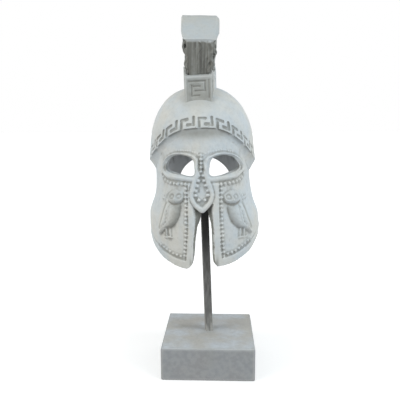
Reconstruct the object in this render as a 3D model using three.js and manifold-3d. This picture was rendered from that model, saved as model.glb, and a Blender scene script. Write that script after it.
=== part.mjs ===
// A small cast helmet of the ancient Greek kind, on a square iron rod in a square foot.
// Millimetres, +Z up, the face looks along -Y. The origin is the middle of the foot's underside.
import * as THREE from "three";
import { mergeVertices } from "three/addons/utils/BufferGeometryUtils.js";
import Module from "manifold-3d";

const wasm = await Module();
wasm.setup();
const { degToRad, inverseLerp, lerp, radToDeg } = THREE.MathUtils;
const FULL_TURN = 2 * Math.PI;

// Driving dimensions
const GAP = 0.3; // clearance where two pieces meet
const LEAN = degToRad(1.9); // the rod and all it carries lean towards -X
const FOOT = { width: 75, height: 27.2, corner: 2.4, edge: 1.6 };
const ROD = { side: 6, corner: 0.5, turn: degToRad(11), low: 8, high: 222 };

// The helmet's plan outlines are superellipses with their own reach to the front and to the back
const ROUNDNESS = 2.15;
const SLICES = 36;
const FACE = [
  { z: 84, side: 35.0, front: 41.5, back: 43.5 },
  { z: 95, side: 39.5, front: 43.2, back: 45.5 },
  { z: 105, side: 42.4, front: 44.2, back: 47.0 },
  { z: 115, side: 44.3, front: 45.0, back: 48.3 },
  { z: 125, side: 45.0, front: 45.5, back: 49.0 },
  { z: 132, side: 44.1, front: 45.7, back: 49.3 },
  { z: 139, side: 41.6, front: 45.7, back: 49.5 },
  { z: 150, side: 39.2, front: 45.4, back: 49.5 },
  { z: 162, side: 38.2, front: 45.0, back: 49.5 },
  { z: 175, side: 38.2, front: 43.9, back: 49.3 },
  { z: 188, side: 37.6, front: 42.6, back: 48.0 },
  { z: 204, side: 34.5, front: 39.0, back: 44.0 },
];
const CROWN = { side: 42, front: 47, back: 50, spring: 178, top: 232, bulge: 2.3 };
const DOME = { rows: 8, reach: 0.97 }; // rings of a dome, and the share of its rise that they cover
const HOLLOW = { side: 6.5, front: 7.5, back: 7, ceiling: 212, below: 70 };

// The crown's lower edge arches over the brow, dips and flares at the temples and runs level round the nape
const BROW = { middle: 198.6, temple: 171.8, arch: 2.85, nape: 176.5, flare: 0.9 };

// Running key above that edge: an upright with a bar at its head, and a hook that comes down beside it.
// Reaches and places along the edge are shares of a unit's length.
const KEY = { units: 22, stroke: 1.7, depth: 1.1 };
const KEY_UPRIGHT = { low: -2, high: 8.4, reach: 0.41 };
const KEY_HOOK = { low: 2.4, high: 9.4, at: 0.7, reach: 0.28 };

// Lower edge of the cheeks and the nape, seen from the side
const LOWER_EDGE = [
  { y: -60, z: 92.6 },
  { y: -44, z: 93.0 },
  { y: -41, z: 93.9 },
  { y: -34, z: 98.2 },
  { y: -25, z: 103.4 },
  { y: -13, z: 108.8 },
  { y: 5, z: 114.0 },
  { y: 25, z: 114.5 },
  { y: 60, z: 109.0 },
];

// Right-hand halves of the shapes seen from the front
const EYE = [
  { x: 5.3, z: 165.4 },
  { x: 12.0, z: 164.4 },
  { x: 20.0, z: 164.5 },
  { x: 26.5, z: 165.9 },
  { x: 28.8, z: 169.0 },
  { x: 26.4, z: 174.2 },
  { x: 21.0, z: 177.8 },
  { x: 15.0, z: 178.7 },
  { x: 9.0, z: 177.0 },
  { x: 5.4, z: 172.2 },
];
const NOSE = [
  { x: 1.6, z: 138.2 },
  { x: 5.6, z: 143.0 },
  { x: 7.5, z: 148.5 },
  { x: 6.2, z: 154.5 },
  { x: 4.6, z: 163.0 },
  { x: 4.2, z: 174.0 },
  { x: 4.4, z: 184.0 },
];
const CHEEK_RIM = [
  { z: 92, inner: 6.0, outer: 13.6 },
  { z: 105, inner: 6.0, outer: 12.4 },
  { z: 120, inner: 6.0, outer: 11.2 },
  { z: 135, inner: 6.0, outer: 10.4 },
  { z: 150, inner: 8.3, outer: 10.6 },
  { z: 161, inner: 6.5, outer: 10.0 },
];

// Half widths of the face slot at the outside and at the inside of the wall, where it drifts to +X
const SLOT = [
  { z: 80.0, outer: 15.5, inner: 14.5, drift: 0 },
  { z: 94.2, outer: 14.6, inner: 13.8, drift: 0 },
  { z: 95.6, outer: 9.8, inner: 9.0, drift: 0 },
  { z: 97.8, outer: 7.8, inner: 7.0, drift: 0 },
  { z: 103.0, outer: 7.2, inner: 6.3, drift: 0 },
  { z: 122.0, outer: 6.8, inner: 5.3, drift: 0.6 },
  { z: 132.0, outer: 7.0, inner: 3.7, drift: 1.5 },
  { z: 141.0, outer: 5.0, inner: 2.2, drift: 1.2 },
];
const SLOT_WALL = { outer: -45.5, inner: -38, back: -33 };
const EYE_WALL = { outer: -45, inner: -35, taper: 0.9 };
const REAR_ARCH = { half: 23.5, spring: 148.8, from: 20, to: 70 };
const CUT = { from: -60, to: 0 }; // reach of the prisms that cut or raise the face

// Relief heights above the face
const RELIEF = { rim: 2.0, owl: 1.3 };
const RIM_WIDTH = { eye: 3.2, nose: 2.2 };

// Rows of raised beads on the right-hand half, each through three points
const BEAD = { radius: 1.5, sunk: 0.3 };
const BEAD_ROWS = [
  { fromX: 12.9, fromZ: 158.5, midX: 13.4, midZ: 131.0, toX: 14.6, toZ: 104.3, count: 17 },
  { fromX: 16.2, fromZ: 158.2, midX: 24.6, midZ: 159.2, toX: 30.9, toZ: 164.4, count: 6 },
  { fromX: 17.6, fromZ: 104.5, midX: 26.4, midZ: 106.6, toX: 35.4, toZ: 112.4, count: 7 },
  { fromX: 0, fromZ: 179.8, midX: 0, midZ: 173.8, toX: 0, toZ: 167.7, count: 5 },
  { fromX: 1.5, fromZ: 164.4, midX: 2.6, midZ: 158.6, toX: 4.3, toZ: 152.9, count: 5 },
  { fromX: 3.9, fromZ: 149.6, midX: 3.0, midZ: 148.0, toX: 2.0, toZ: 146.4, count: 2 },
];

// Owl in low relief on the right cheek: ovals by centre, half sizes and tilt
const OWL = [
  { x: 21.4, z: 148.4, wide: 5.8, high: 4.7, tilt: 0 },
  { x: 25.6, z: 135.0, wide: 5.2, high: 11.5, tilt: 24 },
  { x: 33.2, z: 121.6, wide: 2.1, high: 5.6, tilt: 34 },
  { x: 27.0, z: 120.4, wide: 0.9, high: 5.2, tilt: 4 },
  { x: 24.4, z: 120.6, wide: 0.9, high: 5.2, tilt: -4 },
  { x: 26.6, z: 116.0, wide: 4.4, high: 1.1, tilt: 0 },
  { x: 29.4, z: 149.4, wide: 1.3, high: 4.2, tilt: 20 },
];

// The crest's holder is a channel along an arc in the middle plane, narrowest at its front
const HOLDER = { y: 3, z: 182.6, front: 65, back: 55, high: 65, face: -33, end: 80, steps: 14 };
const HOLDER_HALF = { front: 10, middle: 13.2, back: 11.5, skew: 1 };
const CHANNEL = { wall: 1.9, floor: 7, over: 10, buried: 25 };

// Key spiral cut in the holder's front: grooves by centre and size
const SPIRAL_DEPTH = 0.8;
const SPIRAL = [
  { x: -1.0, z: 232.9, wide: 12.8, high: 1.5 },
  { x: 4.9, z: 229.5, wide: 1.4, high: 8.2 },
  { x: 0.9, z: 226.1, wide: 7.8, high: 1.4 },
  { x: -1.2, z: 229.3, wide: 6.0, high: 1.4 },
  { x: -4.9, z: 226.3, wide: 1.4, high: 8.8 },
  { x: -1.9, z: 222.6, wide: 6.2, high: 1.4 },
];

// The crest fans out of the channel to a round rim, and is set a little askew
const CREST = {
  y: 9, z: 229.5, radius: 57.5, tip: -57.3, tail: 117, rootFrom: -33.6, neckFrom: -30.2, rootTo: 74,
  clear: 1, rimRound: 0.9, rimCrown: 0.3,
};
const CREST_PIVOT = { y: 10, z: 243, tilt: degToRad(2.9), turn: degToRad(2) };
const CREST_HALF = {
  root: { front: 5.8, middle: 8.5, back: 4.2, skew: 0.9 },
  neck: { front: 6.8, middle: 9.5, back: 4.2, skew: 0.9 },
  waist: { front: 9.6, middle: 11.4, back: 5.4, skew: 0.7 },
  rim: { front: 11.6, middle: 13.9, back: 6.5, skew: 0.62 },
};
const RIM_DEPTH = { front: 0.14, side: 0.36, blend: 0.2, step: 0.14 }; // shares of the hair's length
const LOCKS = { pairs: 16, proud: 0.7, front: 7, frontProud: 1.0 };

// Solids and meshes
function solid(geometry) {
  const bare = geometry.clone();
  bare.deleteAttribute("normal");
  bare.deleteAttribute("uv");
  const merged = mergeVertices(bare, 1e-4);
  const corners = merged.index.array;
  const kept = [];
  for (let i = 0; i < corners.length; i += 3) {
    const [a, b, c] = corners.slice(i, i + 3);
    if (a !== b && b !== c && c !== a) kept.push(a, b, c);
  }
  const vertProperties = merged.attributes.position.array;
  const triVerts = new Uint32Array(kept);
  return new wasm.Manifold(new wasm.Mesh({ numProp: 3, vertProperties, triVerts }));
}

function joined(bodies) {
  return bodies.reduce((sum, body) => sum.add(body));
}

function bothSides(body) {
  return body.add(body.mirror([1, 0, 0]));
}

function meshOf(name, body, material) {
  const { vertProperties, triVerts } = body.getMesh();
  const geometry = new THREE.BufferGeometry();
  geometry.setAttribute("position", new THREE.BufferAttribute(vertProperties, 3));
  geometry.setIndex(new THREE.BufferAttribute(triVerts, 1));
  geometry.computeVertexNormals();
  const mesh = new THREE.Mesh(geometry, material);
  mesh.name = name;
  return mesh;
}

// Closed geometry through rings of equal point count, wound anticlockwise seen from the last ring's side.
// The end rings are closed by strips that run straight across.
function loft(rings) {
  const count = rings[0].length;
  const last = (rings.length - 1) * count;
  const index = [];
  for (let j = 0; j < count; j++) {
    const next = (j + 1) % count;
    for (let row = 0; row < last; row += count) {
      index.push(row + j, row + next, row + count + next);
      index.push(row + j, row + count + next, row + count + j);
    }
  }
  for (let j = 0; 2 * j < count - 2; j++) {
    const [a, b, c, d] = [j, j + 1, count - 2 - j, count - 1 - j];
    index.push(c, b, a, d, c, a);
    index.push(last + a, last + b, last + c, last + a, last + c, last + d);
  }
  return new THREE.BufferGeometry().setFromPoints(rings.flat()).setIndex(index);
}

// Prism of a shape drawn in the front view, filling y from near to far
const FRONT_VIEW = new THREE.Matrix4().makeBasis(
  new THREE.Vector3(1, 0, 0),
  new THREE.Vector3(0, 0, 1),
  new THREE.Vector3(0, -1, 0),
);
function frontPrism(shape, near, far) {
  const options = { depth: far - near, bevelEnabled: false, curveSegments: 5 };
  const prism = new THREE.ExtrudeGeometry(shape, options);
  return prism.applyMatrix4(FRONT_VIEW).translate(0, far, 0);
}

// Prism of a shape drawn in the side view (y, z), centred on the middle plane
const SIDE_VIEW = new THREE.Matrix4().makeBasis(
  new THREE.Vector3(0, 1, 0),
  new THREE.Vector3(0, 0, 1),
  new THREE.Vector3(1, 0, 0),
);
function sidePrism(shape, width) {
  const options = { depth: width, bevelEnabled: false, curveSegments: 2 };
  const prism = new THREE.ExtrudeGeometry(shape, options);
  return prism.applyMatrix4(SIDE_VIEW).translate(-width / 2, 0, 0);
}

// Plan outlines of the helmet
const faceSpline = new THREE.CubicInterpolant(
  FACE.map((row) => row.z),
  FACE.flatMap((row) => [row.side, row.front, row.back]),
  3,
);

function faceSize(z, grow = 0) {
  const [side, front, back] = faceSpline.evaluate(z);
  return { side: side + grow, front: front + grow, back: back + grow };
}

function domeScale(z, spring, top) {
  const rise = Math.max(0, (z - spring) / (top - spring));
  return Math.max(0, 1 - rise ** CROWN.bulge) ** (1 / CROWN.bulge);
}

function domeShare(row) {
  return Math.sin((row / DOME.rows) * DOME.reach * 0.5 * Math.PI);
}

function crownSize(z, grow = 0) {
  const scale = domeScale(z, CROWN.spring, CROWN.top + grow);
  return {
    side: (CROWN.side + grow) * scale,
    front: (CROWN.front + grow) * scale,
    back: (CROWN.back + grow) * scale,
  };
}

function hollowSize(z) {
  const outer = faceSize(Math.min(z, CROWN.spring));
  const scale = domeScale(z, CROWN.spring, HOLLOW.ceiling);
  return {
    side: (outer.side - HOLLOW.side) * scale,
    front: (outer.front - HOLLOW.front) * scale,
    back: (outer.back - HOLLOW.back) * scale,
  };
}

// Point of a plan outline: turn 0 is the front and a quarter turn is +X
function planPoint(size, turn, z) {
  const bend = (value) => Math.sign(value) * Math.abs(value) ** (2 / ROUNDNESS);
  const along = bend(Math.cos(turn));
  const reach = along > 0 ? size.front : size.back;
  return new THREE.Vector3(size.side * bend(Math.sin(turn)), -reach * along, z);
}

function turns(count) {
  return Array.from({ length: count }, (_, i) => (i / count) * FULL_TURN);
}

function planRing(size, z, slices = SLICES) {
  return turns(slices).map((turn) => planPoint(size, turn, z));
}

function browHeight(turn) {
  const across = Math.abs(Math.sin(turn)) ** (2 / ROUNDNESS);
  if (Math.cos(turn) > 0) return lerp(BROW.middle, BROW.temple, across ** BROW.arch);
  return lerp(BROW.nape, BROW.temple, across ** 2);
}

// Point of the crown's lower edge
function browPoint(turn, grow = 0) {
  const z = browHeight(turn);
  const flare = BROW.flare * Math.abs(Math.sin(turn));
  return planPoint(crownSize(z, grow + flare), turn, z);
}

// Point of the face's front at a place in the front view, and the way it looks there
function facePoint(x, z) {
  const { side, front } = faceSize(z);
  const y = -front * (1 - Math.min(1, Math.abs(x) / side) ** ROUNDNESS) ** (1 / ROUNDNESS);
  return new THREE.Vector3(x, y, z);
}

function faceNormal(x, z) {
  const step = 0.2;
  const across = facePoint(x + step, z).sub(facePoint(x - step, z));
  const up = facePoint(x, z + step).sub(facePoint(x, z - step));
  return across.cross(up).normalize();
}

// Shapes of the front view
function shapeOf(points) {
  return new THREE.Shape(points.map((p) => new THREE.Vector2(p.x, p.z)));
}

function mirrored(half) {
  return [...half, ...half.toReversed().map((p) => ({ x: -p.x, z: p.z }))];
}

function curveThrough(rows, closed, divisions) {
  const knots = rows.map((row) => new THREE.Vector3(row.x, 0, row.z));
  const points = new THREE.CatmullRomCurve3(knots, closed).getPoints(divisions);
  return closed ? points.slice(0, -1) : points;
}

// Outline moved outwards by a distance, or inwards by a negative one
function grown(points, distance) {
  return points.map((p, i) => {
    const before = points.at(i - 1);
    const after = points[(i + 1) % points.length];
    const out = new THREE.Vector2(after.z - before.z, before.x - after.x).normalize();
    return { x: p.x + out.x * distance, z: p.z + out.y * distance };
  });
}

function oval({ x, z, wide, high, tilt }) {
  const shape = new THREE.Shape();
  shape.absellipse(x, z, wide, high, 0, FULL_TURN, false, degToRad(tilt));
  return shape;
}

// Foot and rod
function placedOnLean(geometry) {
  return geometry.translate(0, 0, -FOOT.height).rotateY(-LEAN).translate(0, 0, FOOT.height);
}

function roundedSquare(width, radius) {
  const flat = width / 2 - radius;
  const shape = new THREE.Shape();
  shape.absarc(flat, flat, radius, 0, 0.5 * Math.PI);
  shape.absarc(-flat, flat, radius, 0.5 * Math.PI, Math.PI);
  shape.absarc(-flat, -flat, radius, Math.PI, 1.5 * Math.PI);
  shape.absarc(flat, -flat, radius, 1.5 * Math.PI, FULL_TURN);
  return shape;
}

function squareBar(width, low, high) {
  const options = { depth: high - low, bevelEnabled: false, curveSegments: 2 };
  const bar = new THREE.ExtrudeGeometry(roundedSquare(width, ROD.corner), options);
  return bar.translate(0, 0, low).rotateZ(ROD.turn);
}

function footBody() {
  const { width, height, corner, edge } = FOOT;
  const block = new THREE.ExtrudeGeometry(roundedSquare(width - 2 * edge, corner), {
    depth: height - 2 * edge,
    bevelThickness: edge,
    bevelSize: edge,
    bevelSegments: 2,
    curveSegments: 3,
  });
  const socket = squareBar(ROD.side + 2 * GAP, ROD.low - GAP, height + ROD.side);
  return solid(block.translate(0, 0, edge)).subtract(solid(placedOnLean(socket)));
}

// Helmet shell
function faceBody(grow) {
  return solid(loft(FACE.map(({ z }) => planRing(faceSize(z, grow), z))));
}

function crownBody(grow) {
  const rings = [turns(SLICES).map((turn) => browPoint(turn, grow))];
  for (let row = 1; row <= DOME.rows; row++) {
    rings.push(
      turns(SLICES).map((turn) => {
        const z = lerp(browHeight(turn), CROWN.top + grow, domeShare(row));
        return planPoint(crownSize(z, grow), turn, z);
      }),
    );
  }
  return solid(loft(rings));
}

function hollowBody() {
  const heights = [HOLLOW.below];
  for (let row = 1; FACE[row].z < CROWN.spring; row += 2) heights.push(FACE[row].z);
  for (let row = 0; row <= DOME.rows; row += 2) {
    heights.push(lerp(CROWN.spring, HOLLOW.ceiling, domeShare(row)));
  }
  return solid(loft(heights.map((z) => planRing(hollowSize(Math.max(z, FACE[0].z)), z, SLICES / 2))));
}

// Path round the crown at a height above its lower edge
function bandPath(rise) {
  const points = turns(4 * KEY.units).map((turn) => {
    if (!rise) return browPoint(turn);
    const z = browHeight(turn) + rise;
    return planPoint(crownSize(z), turn, z);
  });
  return new THREE.CatmullRomCurve3(points, true);
}

function keyGrooves() {
  const edge = bandPath(0);
  const ridge = bandPath(KEY_HOOK.high);
  const pitch = edge.getLength() / KEY.units;
  const half = KEY.stroke / 2;
  const uprightReach = KEY_UPRIGHT.reach * pitch;
  const hookAt = KEY_HOOK.at * pitch;
  const hookReach = KEY_HOOK.reach * pitch;
  const upright = [
    { x: -half, z: KEY_UPRIGHT.low },
    { x: half, z: KEY_UPRIGHT.low },
    { x: half, z: KEY_UPRIGHT.high - KEY.stroke },
    { x: uprightReach, z: KEY_UPRIGHT.high - KEY.stroke },
    { x: uprightReach, z: KEY_UPRIGHT.high },
    { x: -half, z: KEY_UPRIGHT.high },
  ];
  const hook = [
    { x: hookAt + half, z: KEY_HOOK.high },
    { x: hookAt - half, z: KEY_HOOK.high },
    { x: hookAt - half, z: KEY_HOOK.low + KEY.stroke },
    { x: hookReach, z: KEY_HOOK.low + KEY.stroke },
    { x: hookReach, z: KEY_HOOK.low },
    { x: hookAt + half, z: KEY_HOOK.low },
  ];
  const strokes = [
    { outline: upright, middle: uprightReach / 2 },
    { outline: hook, middle: hookAt - half },
  ];
  const cutters = [];
  for (let unit = 0; unit < KEY.units; unit++) {
    for (const { outline, middle } of strokes) {
      const place = (unit + middle / pitch) / KEY.units;
      const foot = edge.getPointAt(place);
      const along = edge.getTangentAt(place);
      const up = ridge.getPointAt(place).sub(foot);
      up.addScaledVector(along, -up.dot(along)).normalize();
      const out = new THREE.Vector3().crossVectors(along, up);
      const options = { depth: 3 * KEY.depth, bevelEnabled: false };
      const cutter = new THREE.ExtrudeGeometry(shapeOf(outline), options);
      cutter.translate(-middle, 0, -KEY.depth);
      cutter.applyMatrix4(new THREE.Matrix4().makeBasis(along, up, out).setPosition(foot));
      cutters.push(solid(cutter));
    }
  }
  return joined(cutters);
}

function beads() {
  const ball = new THREE.IcosahedronGeometry(BEAD.radius);
  const pole = new THREE.Vector3().fromBufferAttribute(ball.attributes.position, 0).normalize();
  const unit = new THREE.Vector3(1, 1, 1);
  const made = [];
  for (const row of BEAD_ROWS) {
    const from = new THREE.Vector2(row.fromX, row.fromZ);
    const to = new THREE.Vector2(row.toX, row.toZ);
    const control = new THREE.Vector2(row.midX, row.midZ).multiplyScalar(2);
    control.sub(from.clone().add(to).multiplyScalar(0.5));
    const path = new THREE.QuadraticBezierCurve(from, control, to);
    for (const { x, y: z } of path.getSpacedPoints(row.count - 1)) {
      for (const side of x > 0 ? [x, -x] : [0]) {
        const out = faceNormal(side, z);
        const turn = new THREE.Quaternion().setFromUnitVectors(pole, out);
        const middle = facePoint(side, z).addScaledVector(out, -BEAD.sunk);
        const placed = new THREE.Matrix4().compose(middle, turn, unit);
        made.push(solid(ball.clone().applyMatrix4(placed)));
      }
    }
  }
  return made;
}

// Raised rims round the eyes, the nose guard and the slot, and the owls
function reliefBody(eyeLine, slot) {
  const throughFace = (shape) => solid(frontPrism(shape, CUT.from, CUT.to));
  const noseLine = mirrored(curveThrough(NOSE, false, 8));
  const cheekLine = [
    ...CHEEK_RIM.map((row) => ({ x: row.outer, z: row.z })),
    ...CHEEK_RIM.toReversed().map((row) => ({ x: row.inner, z: row.z })),
  ];
  const eye = throughFace(shapeOf(grown(eyeLine, RIM_WIDTH.eye)));
  const nose = throughFace(shapeOf(noseLine));
  const noseField = throughFace(shapeOf(grown(noseLine, -RIM_WIDTH.nose)));
  const cheek = throughFace(shapeOf(cheekLine));
  const owl = joined(OWL.map((part) => throughFace(oval(part))));
  const rimLevel = faceBody(RELIEF.rim);
  return joined([
    bothSides(eye).intersect(rimLevel),
    nose.intersect(rimLevel).subtract(noseField),
    nose.intersect(faceBody(0)),
    bothSides(cheek).intersect(rimLevel).subtract(slot),
    bothSides(owl).intersect(faceBody(RELIEF.owl)),
  ]);
}

function slotCut() {
  const ring = (y) => {
    const depth = inverseLerp(SLOT_WALL.outer, SLOT_WALL.inner, y);
    const edge = (side) => SLOT.map(({ z, outer, inner, drift }) => {
      return new THREE.Vector3(side * lerp(outer, inner + side * drift, depth), y, z);
    });
    return [...edge(1), ...edge(-1).toReversed()];
  };
  return solid(loft([ring(SLOT_WALL.back), ring(CUT.from)]));
}

// Eye hole, narrower towards the inside
function eyeCut(eyeLine) {
  const prism = frontPrism(shapeOf(eyeLine), CUT.from, CUT.to);
  const position = prism.attributes.position;
  const middle = eyeLine.reduce((sum, p) => sum + p.x, 0) / eyeLine.length;
  for (let i = 0; i < position.count; i++) {
    const depth = inverseLerp(EYE_WALL.outer, EYE_WALL.inner, position.getY(i));
    position.setX(i, middle + (position.getX(i) - middle) * lerp(1, EYE_WALL.taper, depth));
  }
  return solid(prism);
}

function lowerCut() {
  const edge = new THREE.Shape();
  edge.moveTo(LOWER_EDGE[0].y, LOWER_EDGE[0].z);
  edge.splineThru(LOWER_EDGE.slice(1).map((row) => new THREE.Vector2(row.y, row.z)));
  edge.lineTo(LOWER_EDGE.at(-1).y, HOLLOW.below);
  edge.lineTo(LOWER_EDGE[0].y, HOLLOW.below);
  return solid(sidePrism(edge, 3 * CROWN.side));
}

function rearCut() {
  const arch = new THREE.Shape();
  arch.absarc(0, REAR_ARCH.spring, REAR_ARCH.half, 0, Math.PI);
  arch.lineTo(-REAR_ARCH.half, HOLLOW.below);
  arch.lineTo(REAR_ARCH.half, HOLLOW.below);
  return solid(frontPrism(arch, REAR_ARCH.from, REAR_ARCH.to));
}

function helmetBody() {
  const eyeLine = curveThrough(EYE, true, 20);
  const slot = slotCut();
  const crown = crownBody(0).subtract(keyGrooves());
  const shell = faceBody(0).subtract(slot).add(reliefBody(eyeLine, slot)).add(crown);
  const socket = solid(squareBar(ROD.side + 2 * GAP, HOLLOW.ceiling - ROD.side, ROD.high + GAP));
  const cuts = [hollowBody(), bothSides(eyeCut(eyeLine)), lowerCut(), rearCut(), socket];
  return joined([cuts.reduce((left, cut) => left.subtract(cut), shell), ...beads()]);
}

// Crest holder and crest
// Half width at a share of the way from front to back. A skew under 1 puts the bulge nearer the front.
function bulged({ front, middle, back, skew }, share) {
  const bulge = middle - (front + back) / 2;
  return lerp(front, back, share) + bulge * Math.sin(Math.PI * share ** skew);
}

function holderHalf(y) {
  const share = THREE.MathUtils.clamp(inverseLerp(HOLDER.face, HOLDER.y + HOLDER.back, y), 0, 1);
  return bulged(HOLDER_HALF, share);
}

function arcPoint(degrees, grow = 0) {
  const angle = degToRad(degrees);
  const reach = angle < 0 ? HOLDER.front : HOLDER.back;
  return {
    y: HOLDER.y + (reach + grow) * Math.sin(angle),
    z: HOLDER.z + (HOLDER.high + grow) * Math.cos(angle),
  };
}

// Arc of the holder from a place in front of its middle to an angle behind it
function arcPoints(fromY, to, grow) {
  const from = radToDeg(Math.asin((fromY - HOLDER.y) / (HOLDER.front + grow)));
  return Array.from({ length: HOLDER.steps + 1 }, (_, i) => {
    return arcPoint(lerp(from, to, i / HOLDER.steps), grow);
  });
}

// Bar along the holder's arc between two distances from it, set in from the holder's sides
function arcBar(fromY, to, low, high, inset) {
  const tops = arcPoints(fromY, to, high);
  const rings = arcPoints(fromY, to, low).map((bottom, i) => {
    const top = tops[i];
    const lowHalf = holderHalf(bottom.y) - inset;
    const highHalf = holderHalf(top.y) - inset;
    return [
      new THREE.Vector3(lowHalf, bottom.y, bottom.z),
      new THREE.Vector3(-lowHalf, bottom.y, bottom.z),
      new THREE.Vector3(-highHalf, top.y, top.z),
      new THREE.Vector3(highHalf, top.y, top.z),
    ];
  });
  return solid(loft(rings));
}

function holderBody() {
  const { face, end } = HOLDER;
  const { wall, floor, over, buried } = CHANNEL;
  const block = arcBar(face, end, -buried, 0, 0);
  const channel = arcBar(face + wall, end - wall, -floor, over, wall);
  const grooves = SPIRAL.map(({ x, z, wide, high }) => {
    return solid(new THREE.BoxGeometry(wide, 2 * SPIRAL_DEPTH, high).translate(x, face, z));
  });
  return block.subtract(channel).subtract(crownBody(GAP)).subtract(joined(grooves));
}

function crestPoint(degrees) {
  const angle = degToRad(degrees);
  return {
    y: CREST.y + CREST.radius * Math.sin(angle),
    z: CREST.z + CREST.radius * Math.cos(angle),
  };
}

// Lock of hair on the crest's front, a ridge from a root to a tip
function frontLock(root, tip, halfRoot, halfTip) {
  const proud = LOCKS.frontProud;
  const ring = (at, half) => [
    new THREE.Vector3(at.x - half, at.y + proud, at.z),
    new THREE.Vector3(at.x, at.y - proud, at.z),
    new THREE.Vector3(at.x + half, at.y + proud, at.z),
    new THREE.Vector3(at.x, at.y + 2 * proud, at.z),
  ];
  return solid(loft([ring(root, halfRoot), ring(tip, halfTip)]));
}

function between(a, b, share) {
  return { y: lerp(a.y, b.y, share), z: lerp(a.z, b.z, share) };
}

function crestBody() {
  const stations = 2 * LOCKS.pairs;
  const rings = [];
  for (let i = 0; i <= stations; i++) {
    const share = i / stations;
    const proud = i % 2 ? LOCKS.proud : 0;
    const root = arcPoint(lerp(CREST.rootFrom, CREST.rootTo, share), CREST.clear - CHANNEL.floor);
    const neck = arcPoint(lerp(CREST.neckFrom, CREST.rootTo, share), CREST.clear);
    const top = crestPoint(lerp(CREST.tip, CREST.tail, share));
    const depth = lerp(RIM_DEPTH.front, RIM_DEPTH.side, Math.min(1, share / RIM_DEPTH.blend));
    const rimHalf = bulged(CREST_HALF.rim, share);
    const row = [
      [bulged(CREST_HALF.root, share), root],
      [bulged(CREST_HALF.neck, share) + 0.5 * proud, neck],
      [bulged(CREST_HALF.waist, share) + proud, between(top, neck, depth + RIM_DEPTH.step)],
      [rimHalf, between(top, neck, depth)],
      [rimHalf - CREST.rimRound, top],
    ];
    const left = row.map(([half, p]) => new THREE.Vector3(-half, p.y, p.z));
    const right = row.map(([half, p]) => new THREE.Vector3(half, p.y, p.z)).toReversed();
    const crown = new THREE.Vector3(0, top.y, top.z + CREST.rimCrown);
    rings.push([...left, crown, ...right]);
  }
  const neck = arcPoint(CREST.neckFrom, CREST.clear);
  const tip = between(crestPoint(CREST.tip), neck, RIM_DEPTH.front);
  const halfRoot = CREST_HALF.neck.front / LOCKS.front;
  const halfTip = CREST_HALF.waist.front / LOCKS.front;
  const locks = Array.from({ length: LOCKS.front }, (_, i) => {
    const across = (2 * i) / (LOCKS.front - 1) - 1;
    const root = { x: across * (CREST_HALF.neck.front - halfRoot), ...neck };
    const end = { x: across * (CREST_HALF.waist.front - halfTip), ...tip };
    return frontLock(root, end, halfRoot, halfTip);
  });
  return joined([solid(loft(rings)), ...locks]);
}

// Assembly
const plaster = () => new THREE.MeshStandardMaterial({ color: 0xc6c8c6, roughness: 0.9, metalness: 0 });
const greyPlaster = new THREE.MeshStandardMaterial({ color: 0xa8abaa, roughness: 0.92, metalness: 0 });
const iron = new THREE.MeshStandardMaterial({ color: 0x3a3a38, roughness: 0.6, metalness: 0.7 });

const crest = meshOf("crest", crestBody(), plaster());
crest.geometry.translate(0, -CREST_PIVOT.y, -CREST_PIVOT.z);
crest.position.set(0, CREST_PIVOT.y, CREST_PIVOT.z);
crest.rotation.set(0, CREST_PIVOT.tilt, CREST_PIVOT.turn);

const helmet = new THREE.Group();
helmet.position.z = -FOOT.height;
helmet.add(meshOf("rod", solid(squareBar(ROD.side, ROD.low, ROD.high)), iron));
helmet.add(meshOf("helmet_shell", helmetBody(), plaster()));
helmet.add(meshOf("crest_holder", holderBody(), plaster()));
helmet.add(crest);

const leaning = new THREE.Group();
leaning.position.z = FOOT.height;
leaning.rotation.y = -LEAN;
leaning.add(helmet);

const group = new THREE.Group();
group.add(meshOf("foot", footBody(), greyPlaster));
group.add(leaning);

export default group;
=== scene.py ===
import math

import bmesh
import bpy
import numpy as np
from mathutils import Matrix, Vector


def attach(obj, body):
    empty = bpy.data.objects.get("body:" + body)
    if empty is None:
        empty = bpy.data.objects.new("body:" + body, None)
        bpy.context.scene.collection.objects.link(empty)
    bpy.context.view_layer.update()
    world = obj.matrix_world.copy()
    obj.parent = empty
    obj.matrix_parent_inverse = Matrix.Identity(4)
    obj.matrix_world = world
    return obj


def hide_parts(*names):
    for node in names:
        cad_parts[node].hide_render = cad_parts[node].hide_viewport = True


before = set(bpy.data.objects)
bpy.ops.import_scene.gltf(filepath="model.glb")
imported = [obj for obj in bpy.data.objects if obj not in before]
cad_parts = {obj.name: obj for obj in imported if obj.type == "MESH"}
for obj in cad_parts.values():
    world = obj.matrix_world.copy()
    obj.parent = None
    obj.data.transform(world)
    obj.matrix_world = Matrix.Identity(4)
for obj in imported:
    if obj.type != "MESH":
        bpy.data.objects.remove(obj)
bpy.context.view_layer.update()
mm = 0.001  # the tables below are in millimetres
print("frame loaded")


# Camera
cameraView = {
    "place": (9.62, -408.41, 201.24),
    "down": 8.551,
    "right": -2.351,
    "roll": -0.246,
    "lens": 45.0,
    "sensor": 36.0,
    "clip": (0.01, 50.0),  # metres
}


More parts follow.
